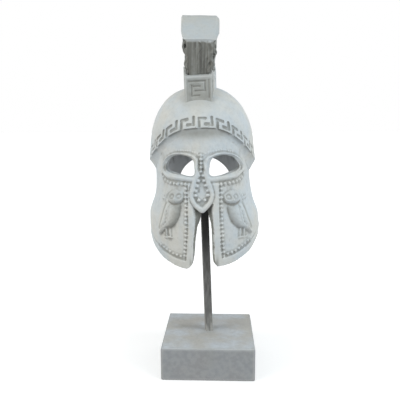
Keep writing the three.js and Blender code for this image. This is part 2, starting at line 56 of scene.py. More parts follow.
def makeCamera(view):
    down, turn, roll = (math.radians(view[key]) for key in ("down", "right", "roll"))
    ahead = Vector((math.sin(turn) * math.cos(down), math.cos(turn) * math.cos(down), -math.sin(down)))
    right = Vector((math.cos(turn), -math.sin(turn), 0))
    up = right.cross(ahead)
    rolledRight = right * math.cos(roll) + up * math.sin(roll)
    rolledUp = up * math.cos(roll) - right * math.sin(roll)
    data = bpy.data.cameras.new("photoCamera")
    data.lens = view["lens"]
    data.sensor_width = view["sensor"]
    data.clip_start, data.clip_end = view["clip"]
    camera = bpy.data.objects.new("photoCamera", data)
    axes = Matrix((rolledRight, rolledUp, -ahead)).transposed()
    camera.matrix_world = Matrix.Translation(Vector(view["place"]) * mm) @ axes.to_4x4()
    bpy.context.scene.collection.objects.link(camera)
    bpy.context.scene.camera = camera


makeCamera(cameraView)
print("camera ready")


def setAll(thing, settings):
    for key, value in settings.items():
        setattr(thing, key, value)


# Node building, for materials and for geometry
class Wire:
    def __init__(self, board, socket):
        self.board = board
        self.socket = socket

    def also(self, output):  # another output of the same node
        return Wire(self.board, self.socket.node.outputs[output])

    def sums(self, operation, *values):
        return self.board.node("ShaderNodeMath", {"operation": operation}, values)

    def through(self, operation):  # a sum of this value alone
        return self.sums(operation, self)

    def __add__(self, other):
        return self.sums("ADD", self, other)

    def __radd__(self, other):
        return self.sums("ADD", other, self)

    def __sub__(self, other):
        return self.sums("SUBTRACT", self, other)

    def __rsub__(self, other):
        return self.sums("SUBTRACT", other, self)

    def __mul__(self, other):
        return self.sums("MULTIPLY", self, other)

    def __rmul__(self, other):
        return self.sums("MULTIPLY", other, self)

    def __truediv__(self, other):
        return self.sums("DIVIDE", self, other)

    def between(self, low, high):  # 0 at low, 1 at high, held outside
        values = {"Value": self, "From Min": low, "From Max": high}
        return self.board.node("ShaderNodeMapRange", {"interpolation_type": "SMOOTHSTEP"}, values)


class Board:
    def __init__(self, tree):
        self.tree = tree

    def fill(self, made, values):  # sockets by name or number
        pairs = values.items() if isinstance(values, dict) else enumerate(values or ())
        for key, value in pairs:
            if isinstance(value, Wire):
                self.tree.links.new(value.socket, made.inputs[key])
            else:
                made.inputs[key].default_value = value

    def node(self, kind, settings=None, values=None, output=0):
        made = self.tree.nodes.new(kind)
        setAll(made, settings or {})
        self.fill(made, values)
        return Wire(self, made.outputs[output])

    def vector(self, operation, *values):
        return self.node("ShaderNodeVectorMath", {"operation": operation}, values)

    def scaled(self, vector, factor):
        return self.node("ShaderNodeVectorMath", {"operation": "SCALE"}, {0: vector, "Scale": factor})

    def blend(self, factor, first, second):  # colours
        settings = {"data_type": "RGBA"}
        return self.node("ShaderNodeMix", settings, {0: factor, 6: first, 7: second}, 2)

    def noise(self, place, scale, detail):
        return self.node("ShaderNodeTexNoise", None, {"Vector": place, "Scale": scale, "Detail": detail})

    def bump(self, strength, depth, height):
        values = {"Strength": strength, "Distance": depth * mm, "Height": height}
        return self.node("ShaderNodeBump", None, values)

    def random(self, low, high, values):
        return self.node("FunctionNodeRandomValue", {"data_type": "FLOAT"}, {2: low, 3: high, **values}, 1)

    def attribute(self, name, kind):  # for geometry
        return self.node("GeometryNodeInputNamedAttribute", {"data_type": kind}, [name])


def newTree(name, inputs):
    tree = bpy.data.node_groups.new(name, "GeometryNodeTree")
    tree.interface.new_socket("Geometry", in_out="INPUT", socket_type="NodeSocketGeometry")
    inputs = {**inputs, "Material": "Material"}
    for label, kind in inputs.items():
        tree.interface.new_socket(label, in_out="INPUT", socket_type="NodeSocket" + kind)
    tree.interface.new_socket("Geometry", in_out="OUTPUT", socket_type="NodeSocketGeometry")
    board = Board(tree)
    start = board.node("NodeGroupInput")
    return board, {label: start.also(label) for label in ("Geometry", *inputs)}


def endTree(board, geometry, material):
    whole = board.node("GeometryNodeRealizeInstances", None, [geometry])
    dressed = board.node("GeometryNodeSetMaterial", None, {"Geometry": whole, "Material": material})
    board.fill(board.tree.nodes.new("NodeGroupOutput"), {"Geometry": dressed})
    return board.tree


def runTree(piece, tree, values):
    step = piece.modifiers.new("shape", "NODES")
    step.node_group = tree
    values = {**values, "Material": helmetPlaster}
    for item in tree.interface.items_tree:
        if item.in_out == "INPUT" and item.name in values:
            step[item.identifier] = values[item.name]
    return settle(piece)


def newMaterial(name):
    material = bpy.data.materials.new(name)
    material.use_nodes = True
    return material, Board(material.node_tree), material.node_tree.nodes["Principled BSDF"]


# Mesh building
def newObject(name, data):
    piece = bpy.data.objects.new(name, data)
    bpy.context.scene.collection.objects.link(piece)
    return piece


def meshObject(name, points, faces=(), edges=()):
    mesh = bpy.data.meshes.new(name)
    mesh.from_pydata((np.asarray(points, float) * mm).tolist(), edges, faces)
    return newObject(name, mesh)


def placed(x, y, z):
    return np.stack(np.broadcast_arrays(x, y, z), axis=-1)


# Closed skin over rings of equal length, anticlockwise seen from the last one
def loftObject(name, rings):
    rings = np.asarray(rings, float)
    rows, count = rings.shape[:2]
    here = np.arange(rows * count).reshape(rows, count)
    beside = np.roll(here, -1, axis=1)
    quads = np.stack([here[:-1], beside[:-1], beside[1:], here[1:]], axis=-1).reshape(-1, 4).tolist()
    caps = [here[0][::-1].tolist(), here[-1].tolist()]
    return meshObject(name, rings.reshape(-1, 3), quads + caps)


# Bar of an outline drawn in the front view, from a far y to a near one
def frontBar(name, outline, far, near):
    x, z = np.asarray(outline, float).T
    return loftObject(name, [placed(x, y, z) for y in (far, near)])


def boxObject(name, low, high):
    outline = [(low[0], low[2]), (high[0], low[2]), (high[0], high[2]), (low[0], high[2])]
    return frontBar(name, outline, high[1], low[1])


def settle(piece):  # turns what the modifiers make into the piece's own mesh
    shown = piece.evaluated_get(bpy.context.evaluated_depsgraph_get())
    mesh = bpy.data.meshes.new_from_object(shown)
    piece.modifiers.clear()
    old = piece.data
    piece.data = mesh
    bpy.data.meshes.remove(old)
    return piece


def modified(piece, kind, settings):
    setAll(piece.modifiers.new(kind, kind), settings)
    return settle(piece)


def cutWith(piece, tool, operation="DIFFERENCE"):
    modified(piece, "BOOLEAN", {"solver": "MANIFOLD", "operation": operation, "object": tool})
    bpy.data.objects.remove(tool)
    return piece


def addTo(piece, other):
    return cutWith(piece, other, "UNION")


# Keeps a piece's main skin, without the specks and fins that fusing and thinning can leave
def dropCrumbs(piece):
    mesh = bmesh.new()
    mesh.from_mesh(piece.data)
    fins = [face for face in mesh.faces if any(edge.is_boundary for edge in face.edges)]
    bmesh.ops.delete(mesh, geom=fins, context="FACES")
    left = set(mesh.verts)
    largest = []
    while left:
        part = [left.pop()]
        for vertex in part:
            near = {edge.other_vert(vertex) for edge in vertex.link_edges} & left
            left -= near
            part.extend(near)
        largest = max(largest, part, key=len)
    kept = set(largest)
    crumbs = [vertex for vertex in mesh.verts if vertex not in kept]
    bmesh.ops.delete(mesh, geom=crumbs, context="VERTS")
    mesh.to_mesh(piece.data)
    mesh.free()


def triangleCount(mesh):
    return sum(len(face.vertices) - 2 for face in mesh.polygons)


# Fuses a piece into one skin with softened edges, as a casting has, thins it and makes it uneven
def castAsOne(piece, size):
    modified(piece, "REMESH", {"mode": "VOXEL", "voxel_size": size["voxel"] * mm})
    modified(piece, "SMOOTH", {"factor": 0.5, "iterations": 1})
    full = triangleCount(piece.data)
    if full > size["triangles"]:
        modified(piece, "DECIMATE", {"ratio": size["triangles"] / full})
    dropCrumbs(piece)
    roughen(piece, size["waves"])


def readAll(items, key, count, kind=float):
    flat = np.empty(len(items) * count, kind)
    items.foreach_get(key, flat)
    return flat.reshape(-1, count)


def pointsOf(mesh):  # in millimetres
    return readAll(mesh.vertices, "co", 3) / mm


def setPoints(mesh, points):
    mesh.vertices.foreach_set("co", (points * mm).ravel())
    mesh.update()


def normalsOf(mesh):
    return readAll(mesh.vertex_normals, "vector", 3)


def setAttribute(mesh, name, kind, values):
    made = mesh.attributes.get(name) or mesh.attributes.new(name, kind, "POINT")
    key = "vector" if kind == "FLOAT_VECTOR" else "value"
    made.data.foreach_set(key, np.asarray(values).ravel())


# Lattice noise from -1 to 1 with a given grain, the same at every run
def grain(points, size, seed):
    cells = 32
    table = np.random.default_rng(seed).uniform(-1, 1, (cells, cells, cells))
    place = points / size
    base = np.floor(place).astype(int)
    share = place - base
    share = share * share * (3 - 2 * share)
    total = np.zeros(len(points))
    for corner in np.ndindex(2, 2, 2):
        weight = np.prod(np.where(corner, share, 1 - share), axis=1)
        total += weight * table[tuple(((base + corner) % cells).T)]
    return total


def roughen(piece, waves):  # waves are rows of grain size, height and seed, all below the drawn surface
    points = pointsOf(piece.data)
    lift = np.zeros(len(points))
    for size, height, seed in waves:
        lift += height * (grain(points, size, seed) - 1)
    setPoints(piece.data, points + normalsOf(piece.data) * lift[:, None])


# How deep each point lies below its surroundings, in millimetres, kept as an attribute
def markHollows(piece, rounds=5):
    mesh = piece.data
    points = pointsOf(mesh)
    first, second = readAll(mesh.edges, "vertices", 2, int).T
    here = np.concatenate([first, second])
    there = np.concatenate([second, first])
    share = 1 / np.maximum(1, np.bincount(here, minlength=len(points)))
    smooth = points
    for _ in range(rounds):
        smooth = np.stack(
            [np.bincount(here, smooth[there, axis], len(points)) * share for axis in range(3)], axis=1
        )
    depth = np.sum((smooth - points) * normalsOf(mesh), axis=1)
    depth = (depth + np.bincount(here, depth[there], len(points)) * share) / 2
    setAttribute(mesh, "hollow", "FLOAT", depth)


def shadeSmooth(piece):
    piece.data.polygons.foreach_set("use_smooth", np.ones(len(piece.data.polygons), bool))
    piece.data.update()


# Places in millimetres turned with the leaning rod about the foot's top
leanAngle = 1.9
footTop = 27.2


def turnAbout(points, pivot, matrix):
    pivot = np.asarray(pivot, float)
    return (np.asarray(points, float) - pivot) @ np.array(matrix).T + pivot


def leaned(points):
    return turnAbout(points, (0, 0, footTop), Matrix.Rotation(math.radians(-leanAngle), 3, "Y"))


def finishPiece(piece, material, node):
    piece.data.materials.clear()
    piece.data.materials.append(material)
    shadeSmooth(piece)
    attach(piece, "root")
    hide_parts(node)
    print(piece.name, "has", triangleCount(piece.data), "triangles")


# A casting on the rod, with its dirt and painted shade, leaned at the last
def finishCasting(piece, points, dirtAndShade, node):
    setAttribute(piece.data, "dirtAndShade", "FLOAT", dirtAndShade)
    markHollows(piece)
    setPoints(piece.data, leaned(points))
    finishPiece(piece, helmetPlaster, node)


# Small curve helpers
def rise(low, high, value):
    share = np.clip((value - low) / (high - low), 0, 1)
    return share * share * (3 - 2 * share)


def lerp(first, second, share):
    return first + (second - first) * share


def hump(offset, width):
    return np.exp(-((offset / width) ** 2))


def rounded(offset):  # half circle over -1 to 1
    return np.sqrt(np.clip(1 - offset**2, 0, 1))


def turns(count):  # round the helmet, from its front towards +X
    return np.linspace(0, 2 * np.pi, count, endpoint=False)


def rowsAt(table, place):  # cubic through a table's rows, whose first column is the place
    table = np.asarray(table, float)
    keys, values = table[:, 0], table[:, 1:]
    slopes = np.gradient(values, keys, axis=0)
    place = np.clip(place, keys[0], keys[-1])
    low = np.clip(np.searchsorted(keys, place) - 1, 0, len(keys) - 2)
    span = keys[low + 1] - keys[low]
    share = (place - keys[low]) / span
    share, span = share[..., None], span[..., None]
    a, b = values[low], values[low + 1]
    da, db = slopes[low] * span, slopes[low + 1] * span
    square, cube = share**2, share**3
    made = (2 * cube - 3 * square + 1) * a + (cube - 2 * square + share) * da
    made = made + (3 * square - 2 * cube) * b + (cube - square) * db
    return np.moveaxis(made, -1, 0)


def curveThrough(knots, steps, closed):
    knots = np.asarray(knots, float)
    if closed:
        padded = np.concatenate([knots[-1:], knots, knots[:2]])
    else:
        padded = np.concatenate([2 * knots[:1] - knots[1:2], knots, 2 * knots[-1:] - knots[-2:-1]])
    share = np.linspace(0, 1, steps, endpoint=False)[:, None]
    spans = []
    for before, a, b, after in zip(padded, padded[1:], padded[2:], padded[3:]):
        da, db = (b - before) / 2, (after - a) / 2
        spans.append(
            a + share * da + share**2 * (3 * (b - a) - 2 * da - db) + share**3 * (2 * (a - b) + da + db)
        )
    whole = np.concatenate(spans)
    return whole if closed else np.concatenate([whole, knots[-1:]])


def outlineDistance(outline, x, z):  # to a closed outline, negative inside it
    best = np.full(x.shape, np.inf)
    inside = np.zeros(x.shape, bool)
    for (ax, az), (bx, bz) in zip(outline, np.roll(outline, -1, axis=0)):
        dx, dz = bx - ax, bz - az
        share = np.clip(((x - ax) * dx + (z - az) * dz) / (dx * dx + dz * dz), 0, 1)
        best = np.minimum(best, np.hypot(x - ax - share * dx, z - az - share * dz))
        crosses = (az > z) != (bz > z)
        inside ^= crosses & (x < ax + (z - az) * dx / (dz or 1e-9))
    return np.where(inside, -best, best)


# Studio: white floor and backdrop, soft lamps
white = (1, 1, 1, 1)
studio = {
    "floorReach": 12.0,  # metres
    "floorColour": (0.9, 0.9, 0.9, 1),
    "floorRough": 0.9,
    "floorShine": 0.1,
    "floorGlow": 0.38,
    "backdrop": 1.0,
    "ambient": 0.33,
    "lamps": [  # name, way to the lamp, spread in degrees, strength, colour
        ("overhead", (0.0, -0.4, 1.0), 60, 0.62, (0.85, 0.96, 1.0)),
        ("warmLeft", (-0.89, -0.5, 0.18), 45, 2.2, (1.0, 0.98, 0.93)),
        ("coolRight", (0.89, -0.5, 0.18), 45, 2.35, (0.94, 0.985, 1.0)),
        ("rearLeft", (-0.5, 0.85, 0.12), 55, 0.8, (1.0, 1.0, 1.0)),
        ("rearRight", (0.5, 0.85, 0.12), 55, 0.8, (1.0, 1.0, 1.0)),
    ],
}


def makeStudio(look):
    scene = bpy.context.scene
    scene.view_settings.view_transform = "Standard"
    world = bpy.data.worlds.new("studioWorld")
    world.use_nodes = True
    scene.world = world
    board = Board(world.node_tree)
    seen = board.node("ShaderNodeLightPath", output="Is Camera Ray")
    strength = look["ambient"] + seen * (look["backdrop"] - look["ambient"])
    board.fill(world.node_tree.nodes["Background"], {"Color": white, "Strength": strength})
    for name, way, spread, energy, colour in look["lamps"]:
        data = bpy.data.lights.new(name, "SUN")
        setAll(data, {"angle": math.radians(spread), "energy": energy, "color": colour})
        lamp = newObject(name, data)
        lamp.location = Vector(way)
        lamp.rotation_euler = (-Vector(way)).to_track_quat("-Z", "Y").to_euler()
    reach = look["floorReach"]
    mesh = bpy.data.meshes.new("floor")
    corners = [(-reach, -reach, 0), (reach, -reach, 0), (reach, reach, 0), (-reach, reach, 0)]
    mesh.from_pydata(corners, [], [(0, 1, 2, 3)])
    floor = newObject("floor", mesh)
    paint, board, shader = newMaterial("floorPaint")
    board.fill(shader, {
        "Base Color": look["floorColour"],
        "Roughness": look["floorRough"],
        "Specular IOR Level": look["floorShine"],
        "Emission Color": white,
        "Emission Strength": look["floorGlow"],
    })
    mesh.materials.append(paint)
    floor.visible_diffuse = False  # its white doesn't flatten the shade on the object


makeStudio(studio)
print("studio ready")


# Materials
plasterLook = {
    "warm": (0.60, 0.605, 0.575, 1),
    "cool": (0.54, 0.595, 0.63, 1),
    # dust, and the painted shade in hollows
    "dustAndShade": (0.24, 0.24, 0.22, 1),
    # wear, and the painted highlight on raised parts
    "wearAndHighlight": (0.70, 0.715, 0.71, 1),
    # dirt, and painted shade where parts lie in shadow
    "dirtAndShade": (0.25, 0.255, 0.235, 1),
    # the darkest painted shade, with dirt in the hair
    "deep": (0.09, 0.09, 0.083, 1),
    # painted light: the inside paler, as light bounced up from the floor makes it
    "inner": (0.86, 0.885, 0.905, 1),
    "patch": (38.0, 3.0),  # scale and detail of each noise
    "mottle": (260.0, 4.0),
    "speck": (480.0, 3.0),
    "fine": (900.0, 5.0),
    "streak": (110.0, 3.0),
    "streakStretch": (1.0, 1.0, 0.1),
    "pits": 330.0,
    "share": {"streak": 0.45, "mottle": 0.26, "speck": 0.11, "pit": 0.55},
    "span": {  # where each mask begins and where it is full
        "patch": (0.35, 0.65), "streak": (0.5, 0.7), "mottle": (0.35, 0.65), "speck": (0.3, 0.52),
        "pit": (0.04, 0.16), "pitted": (0.56, 0.64), "hollow": (0.02, 0.22), "proud": (0.02, 0.3),
        "upward": (0.15, 0.75),
    },
    "uneven": {  # base and swing of each mask
        "inside": (0.75, 0.4), "dirtAndShade": (0.75, 0.5), "hollow": (0.4, 0.6), "proud": (0.5, -0.28),
    },
    "rough": (0.86, 0.1),  # base and swing
    "shine": 0.25,
    "bump": (0.55, 0.5),  # strength and depth
    "relief": (0.3, 0.5, 0.5, -0.9),  # fine, mottle, speck, pits
}
# A greyer plaster, its sides painted darker and its tops paler: painted shade and painted light
footLook = dict(
    plasterLook,
    warm=(0.275, 0.28, 0.287, 1),
    cool=(0.268, 0.283, 0.298, 1),
    wearAndHighlight=(0.42, 0.43, 0.435, 1),
    litTopWarm=(0.54, 0.535, 0.505, 1),
    litTopCool=(0.595, 0.64, 0.68, 1),
)
ironLook = {
    # painted shadow of the helmet over the rod's top
    "shadowed": (0.02, 0.021, 0.021, 1),
    "grey": (0.15, 0.15, 0.146, 1),
    "rust": (0.055, 0.052, 0.048, 1),
    "smear": (0.32, 0.32, 0.305, 1),
    "greyFrom": 60.0,
    "shadowFrom": 125.0,
    "smearTop": 55.0,
    "stretch": (1.0, 1.0, 0.25),
    "blotch": (320.0, 4.0),
    "scratch": (1400.0, 3.0),
    "span": {"smear": (0.52, 0.78), "blotch": (0.4, 0.65), "scratch": (0.55, 0.75)},
    "share": {"lowSmear": 0.2, "blotch": 0.7, "scratch": 0.15},
    "rough": 0.5,
    "rougher": (0.2, 0.25),  # scratches, smears
    "metal": 0.4,
    "bump": (0.35, 0.4),
    "relief": (0.4, 0.6, 0.5),  # scratches, blotches, smears
}


def weighed(wires, weights):
    return sum(wire * weight for wire, weight in zip(wires, weights))


def plasterMaterial(name, look):
    material, board, shader = newMaterial(name)
    place = board.node("ShaderNodeTexCoord", output="Object")
    hollow, dirtAndShade, inside = (
        board.node("ShaderNodeAttribute", {"attribute_name": key}, output="Fac")
        for key in ("hollow", "dirtAndShade", "inside")
    )
    patch, mottle, speck, fine = (
        board.noise(place, *look[key]) for key in ("patch", "mottle", "speck", "fine")
    )
    tall = board.node("ShaderNodeMapping", None, {"Vector": place, "Scale": look["streakStretch"]})
    streak = board.noise(tall, *look["streak"])
    pits = board.node("ShaderNodeTexVoronoi", None, {"Vector": place, "Scale": look["pits"]})
    share, span = look["share"], look["span"]

    def uneven(key, value):  # a mask's strength, more or less with a noise
        base, swing = look["uneven"][key]
        return base + swing * value

    pit = (1 - pits.between(*span["pit"])) * mottle.between(*span["pitted"])
    cloud = patch.between(*span["patch"])
    tone = board.blend(cloud, look["warm"], look["cool"])
    tone = board.blend(streak.between(*span["streak"]) * share["streak"], tone, look["cool"])
    if "litTopWarm" in look:  # what faces up is painted paler: painted light from above
        facing = board.node("ShaderNodeNewGeometry", output="Normal")
        upward = board.node("ShaderNodeSeparateXYZ", None, [facing], "Z").between(*span["upward"])
        tone = board.blend(upward, tone, board.blend(cloud, look["litTopWarm"], look["litTopCool"]))
    tone = board.blend(mottle.between(*span["mottle"]) * share["mottle"], tone, look["wearAndHighlight"])
    tone = board.blend((1 - speck.between(*span["speck"])) * share["speck"], tone, look["dustAndShade"])
    # painted light: the inside paler, as light bounced up from the floor makes it
    tone = board.blend(inside * uneven("inside", patch), tone, look["inner"])
    # dirt and painted shade, as the attribute on each piece gives
    tone = board.blend(dirtAndShade * uneven("dirtAndShade", mottle - 0.5), tone, look["dirtAndShade"])
    # darkest painted shade, with dirt in the hair, where the attribute passes 1
    tone = board.blend((dirtAndShade - 1).between(0, 1), tone, look["deep"])
    # painted shade: hollows darker the deeper they lie
    tone = board.blend(hollow.between(*span["hollow"]) * uneven("hollow", mottle), tone, look["dustAndShade"])
    # raised parts paler: wear and a painted highlight
    tone = board.blend((0 - hollow).between(*span["proud"]) * uneven("proud", dirtAndShade), tone, look["wearAndHighlight"])
    tone = board.blend(pit * share["pit"], tone, look["dustAndShade"])
    rough, swing = look["rough"]
    board.fill(shader, {
        "Base Color": tone,
        "Roughness": rough + swing * (fine - 0.5),
        "Specular IOR Level": look["shine"],
        "Normal": board.bump(*look["bump"], weighed((fine, mottle, speck, pit), look["relief"])),
    })
    return material


def ironMaterial(name, look):
    material, board, shader = newMaterial(name)
    place = board.node("ShaderNodeTexCoord", output="Object")
    stretched = board.node("ShaderNodeMapping", None, {"Vector": place, "Scale": look["stretch"]})
    blotch, scratch = (board.noise(stretched, *look[key]) for key in ("blotch", "scratch"))
    height = board.node("ShaderNodeSeparateXYZ", None, [place], "Z")
    low = 1 - height.between(footTop * mm, look["smearTop"] * mm)
    share, span = look["share"], look["span"]
    smear = (blotch + low * share["lowSmear"]).between(*span["smear"])
    # darker towards the top: a painted shadow of the helmet
    upper = height.between(look["greyFrom"] * mm, look["shadowFrom"] * mm)
    tone = board.blend(upper, look["grey"], look["shadowed"])
    tone = board.blend(blotch.between(*span["blotch"]) * share["blotch"], tone, look["rust"])
    tone = board.blend(scratch.between(*span["scratch"]) * share["scratch"], tone, look["smear"])
    tone = board.blend(smear * low, tone, look["smear"])
    board.fill(shader, {
        "Base Color": tone,
        "Roughness": look["rough"] + weighed((scratch, smear), look["rougher"]),
        "Metallic": look["metal"] * (1 - smear),
        "Normal": board.bump(*look["bump"], weighed((scratch, blotch, smear), look["relief"])),
    })
    return material


helmetPlaster = plasterMaterial("helmetPlaster", plasterLook)
footPlaster = plasterMaterial("footPlaster", footLook)
rodIron = ironMaterial("rodIron", ironLook)
print("materials ready")


# Foot: a cast block with soft edges
foot = {
    "width": 75.0,
    "height": footTop,
    "edge": 0.8,
    "edgeSteps": 4,
    "inset": 0.08,
    # a painted shadow of the rod and helmet on the top, behind the rod
    "rodShadow": {"darkening": 0.4, "y": 6, "wide": 4.5, "left": (-34, -22), "right": (32, 4), "above": 20},
    "frontStain": {"darkening": 0.25, "x": 1.5, "wide": 5, "front": (-36, -37), "up": (8, 16)},
    "voxel": 0.9,
    "triangles": 60000,
    "waves": [],
}


def makeFoot():
    half = foot["width"] / 2 - foot["inset"]
    piece = boxObject("foot_block", (-half, -half, 0), (half, half, foot["height"] - foot["inset"]))
    modified(piece, "BEVEL", {"width": foot["edge"] * mm, "segments": foot["edgeSteps"]})
    castAsOne(piece, foot)
    points = pointsOf(piece.data)
    points[:, 2] = np.maximum(points[:, 2], 0)
    setPoints(piece.data, points)
    x, y, z = points.T
    # painted shadow behind the rod, then a darker band on the front face
    spot = foot["rodShadow"]
    behindRod = hump(y - spot["y"], spot["wide"]) * rise(*spot["left"], x) * rise(*spot["right"], x)
    dirtAndShade = spot["darkening"] * (behindRod * (z > spot["above"]))
    spot = foot["frontStain"]
    onFront = rise(*spot["front"], y) * hump(x - spot["x"], spot["wide"]) * rise(*spot["up"], z)
    setAttribute(piece.data, "dirtAndShade", "FLOAT", dirtAndShade + spot["darkening"] * onFront)
    markHollows(piece)
    finishPiece(piece, footPlaster, "foot")


# Helmet: plan outlines are superellipses with their own reach to the front and the back
helmetForm = {
    "roundness": 2.15,
    "face": [  # height, half width, reach to the front, reach to the back
        (84, 35.0, 41.5, 43.5),
        (95, 39.5, 43.2, 45.5),
        (105, 42.4, 44.2, 47.0),
        (115, 44.3, 45.0, 48.3),
        (125, 45.0, 45.5, 49.0),
        (132, 44.1, 45.7, 49.3),
        (139, 41.6, 45.7, 49.5),
        (150, 39.2, 45.4, 49.5),
        (162, 38.2, 45.0, 49.5),
        (175, 38.2, 44.3, 49.3),
        (188, 37.6, 43.9, 48.0),
        (204, 34.5, 41.8, 44.0),
    ],
    "crown": (42.0, 47.0, 50.0),
    "crownSpring": 178.0,
    "crownTop": 232.0,
    "crownBulge": 2.3,
    "hollowInset": (6.5, 7.5, 7.0),
    "hollowCeiling": 212.0,
    "hollowBelow": 70.0,
}
browEdge = {
    "middle": 198.6,
    "temple": 171.8,
    "arch": 2.85,
    "nape": 176.5,
    "flare": 0.9,
    "flareHeight": 10.0,
    "leftLift": (3.0, 10),  # height, how narrow
    "templeNarrow": 6,
    "lip": 1.1,
    "lipFade": 0.75,  # lost at the temples
    "lipRise": 0.6,
    "coveFront": 4.6,
    "coveTemple": 8.0,
    "coveSteps": 8,
    "coveSunk": 0.2,
    "buried": (186.0, 0.5),  # height and share of the crown's end inside the face
}


def planPoints(sizes, turn, z):
    side, front, back = sizes
    power = 2 / helmetForm["roundness"]
    across = np.sign(np.sin(turn)) * np.abs(np.sin(turn)) ** power
    along = np.sign(np.cos(turn)) * np.abs(np.cos(turn)) ** power
    y = -np.where(along > 0, front, back) * along
    return placed(side * across, y, z)


def faceSizes(z, grow=0.0):
    return rowsAt(helmetForm["face"], np.asarray(z, float)) + grow


def domeShare(z, top):
    spring, bulge = helmetForm["crownSpring"], helmetForm["crownBulge"]
    up = np.clip((z - spring) / (top - spring), 0, 1)
    return (1 - up**bulge) ** (1 / bulge)


def crownSizes(z, grow=0.0):
    scale = domeShare(z, helmetForm["crownTop"] + np.max(grow))
    return [(reach + grow) * scale for reach in helmetForm["crown"]]


def hollowSizes(z):
    outer = faceSizes(np.minimum(z, helmetForm["crownSpring"]))
    scale = domeShare(z, helmetForm["hollowCeiling"])
    return [(reach - inset) * scale for reach, inset in zip(outer, helmetForm["hollowInset"])]


def browHeight(turn):
    across = np.abs(np.sin(turn)) ** (2 / helmetForm["roundness"])
    front = lerp(browEdge["middle"], browEdge["temple"], across ** browEdge["arch"])
    rear = lerp(browEdge["nape"], browEdge["temple"], across**2)
    height, narrow = browEdge["leftLift"]
    lift = height * np.maximum(0, -np.sin(turn)) ** narrow
    return np.where(np.cos(turn) > 0, front, rear) + lift


def crownPoints(turn, above):  # at a height above the brow's edge
    z = browHeight(turn) + above
    flare = browEdge["flare"] * np.abs(np.sin(turn)) * np.clip(1 - above / browEdge["flareHeight"], 0, 1)
    return planPoints(crownSizes(z) + flare, turn, z)


def facePoints(x, z):  # on the front of the face, at a place in the front view
    side, front, _ = faceSizes(z)
    power = helmetForm["roundness"]
    y = -front * (1 - np.minimum(1, np.abs(x) / side) ** power) ** (1 / power)
    return placed(x, y, z)


# Reliefs of the face, drawn in the front view as x and z
# Left and right differ a little, as in a hand-made mould
faceShapes = {
    "eyeRight": [
        (5.9, 164.2), (14.1, 164.0), (20.6, 164.5), (26.7, 165.3), (29.8, 167.0), (30.3, 169.0),
        (29.4, 171.4), (27.0, 174.3), (23.4, 176.9), (18.0, 178.3), (12.2, 178.0), (8.0, 176.0),
        (6.2, 172.5),
    ],
    "eyeLeft": [
        (-5.2, 164.6), (-4.7, 172.9), (-5.6, 175.8), (-7.9, 177.9), (-13.1, 179.3), (-18.6, 179.2),
        (-23.1, 177.4), (-25.9, 174.6), (-27.5, 172.2), (-28.0, 169.6), (-26.6, 167.4), (-22.3, 166.0),
        (-14.2, 165.1),
    ],
    "noseOuter": [
        (0.0, 136.7), (1.8, 137.2), (5.3, 140.6), (8.1, 145.0), (9.3, 150.2), (8.3, 155.8), (7.1, 159.9),
        (5.9, 164.0), (5.5, 168.7), (5.4, 174.5), (3.4, 179.0),
    ],
    "noseField": [
        (0.0, 142.0), (1.6, 142.8), (4.4, 145.7), (6.0, 149.9), (4.8, 154.0), (3.7, 157.6), (2.9, 161.7),
        (2.2, 165.8), (2.0, 171.6), (2.0, 176.8), (3.0, 180.0),
    ],
    "stripRight": [  # height, half width
        (92, 13.8), (102.6, 13.3), (111, 12.7), (120.3, 12.7), (138.5, 12.5), (147.4, 12.6), (162, 12.9),
    ],
    "stripLeft": [
        (92, 14.6), (103.5, 13.2), (114.4, 12.0), (124.3, 11.1), (142.4, 10.4), (150.7, 10.0), (162, 9.7),
    ],
    "lowerEdge": [  # y, height
        (-60, 92.6), (-44, 93.0), (-41, 93.9), (-34, 98.2), (-25, 103.4),
        (-13, 108.8), (5, 114.0), (25, 114.5), (60, 109.0),
    ],
    "slotRight": [  # height, half width outside, half width inside
        (80.0, 21.0, 20.0), (92.0, 15.0, 14.0), (93.6, 11.6, 10.4), (95.0, 9.9, 8.3), (96.7, 9.0, 7.0),
        (98.6, 8.5, 6.4), (105.2, 8.1, 5.9), (114.0, 8.2, 5.9), (121.5, 8.2, 5.9), (127.0, 7.9, 5.6),
        (132.0, 7.6, 4.4), (138.4, 7.4, 3.0), (143.5, 8.1, 2.6),
    ],
    "slotLeft": [
        (80.0, 21.0, 20.0), (92.4, 18.0, 17.5), (93.4, 14.0, 13.4), (94.6, 11.9, 10.6), (96.0, 10.5, 9.4),
        (98.9, 9.0, 8.0), (105.6, 8.0, 6.8), (114.0, 7.6, 5.9), (120.5, 6.8, 4.8), (125.5, 6.3, 3.8),
        (130.0, 6.0, 1.9), (135.0, 5.9, 0.8), (143.5, 6.6, 0.6),
    ],
    "slotWall": (-45.5, -38.0),
    "slotBack": -33.0,
    "noseBack": -38.8,
    "eyeWall": (-45.0, -35.0),
    "eyeTaper": 0.9,
    "eyeSill": 0.9,
    "eyeSillSpan": ((12, 22), (172, 166)),
    "cutFront": -60.0,
    "cutOver": 10.0,
    "rightLift": 1.7,
    "rightSpan": (0, 10),
    "lowerRows": (-63, 0, 2.5, 5, 7.5, 10, 63),
    "lowerSteps": 121,
    "rearSteps": 49,
    "eyeSteps": 6,
    "noseSteps": 5,
    "slotSteps": 4,
    "rearHalf": 23.5,
    "rearSpring": 148.8,
    "rearReach": (70.0, 20.0),
}
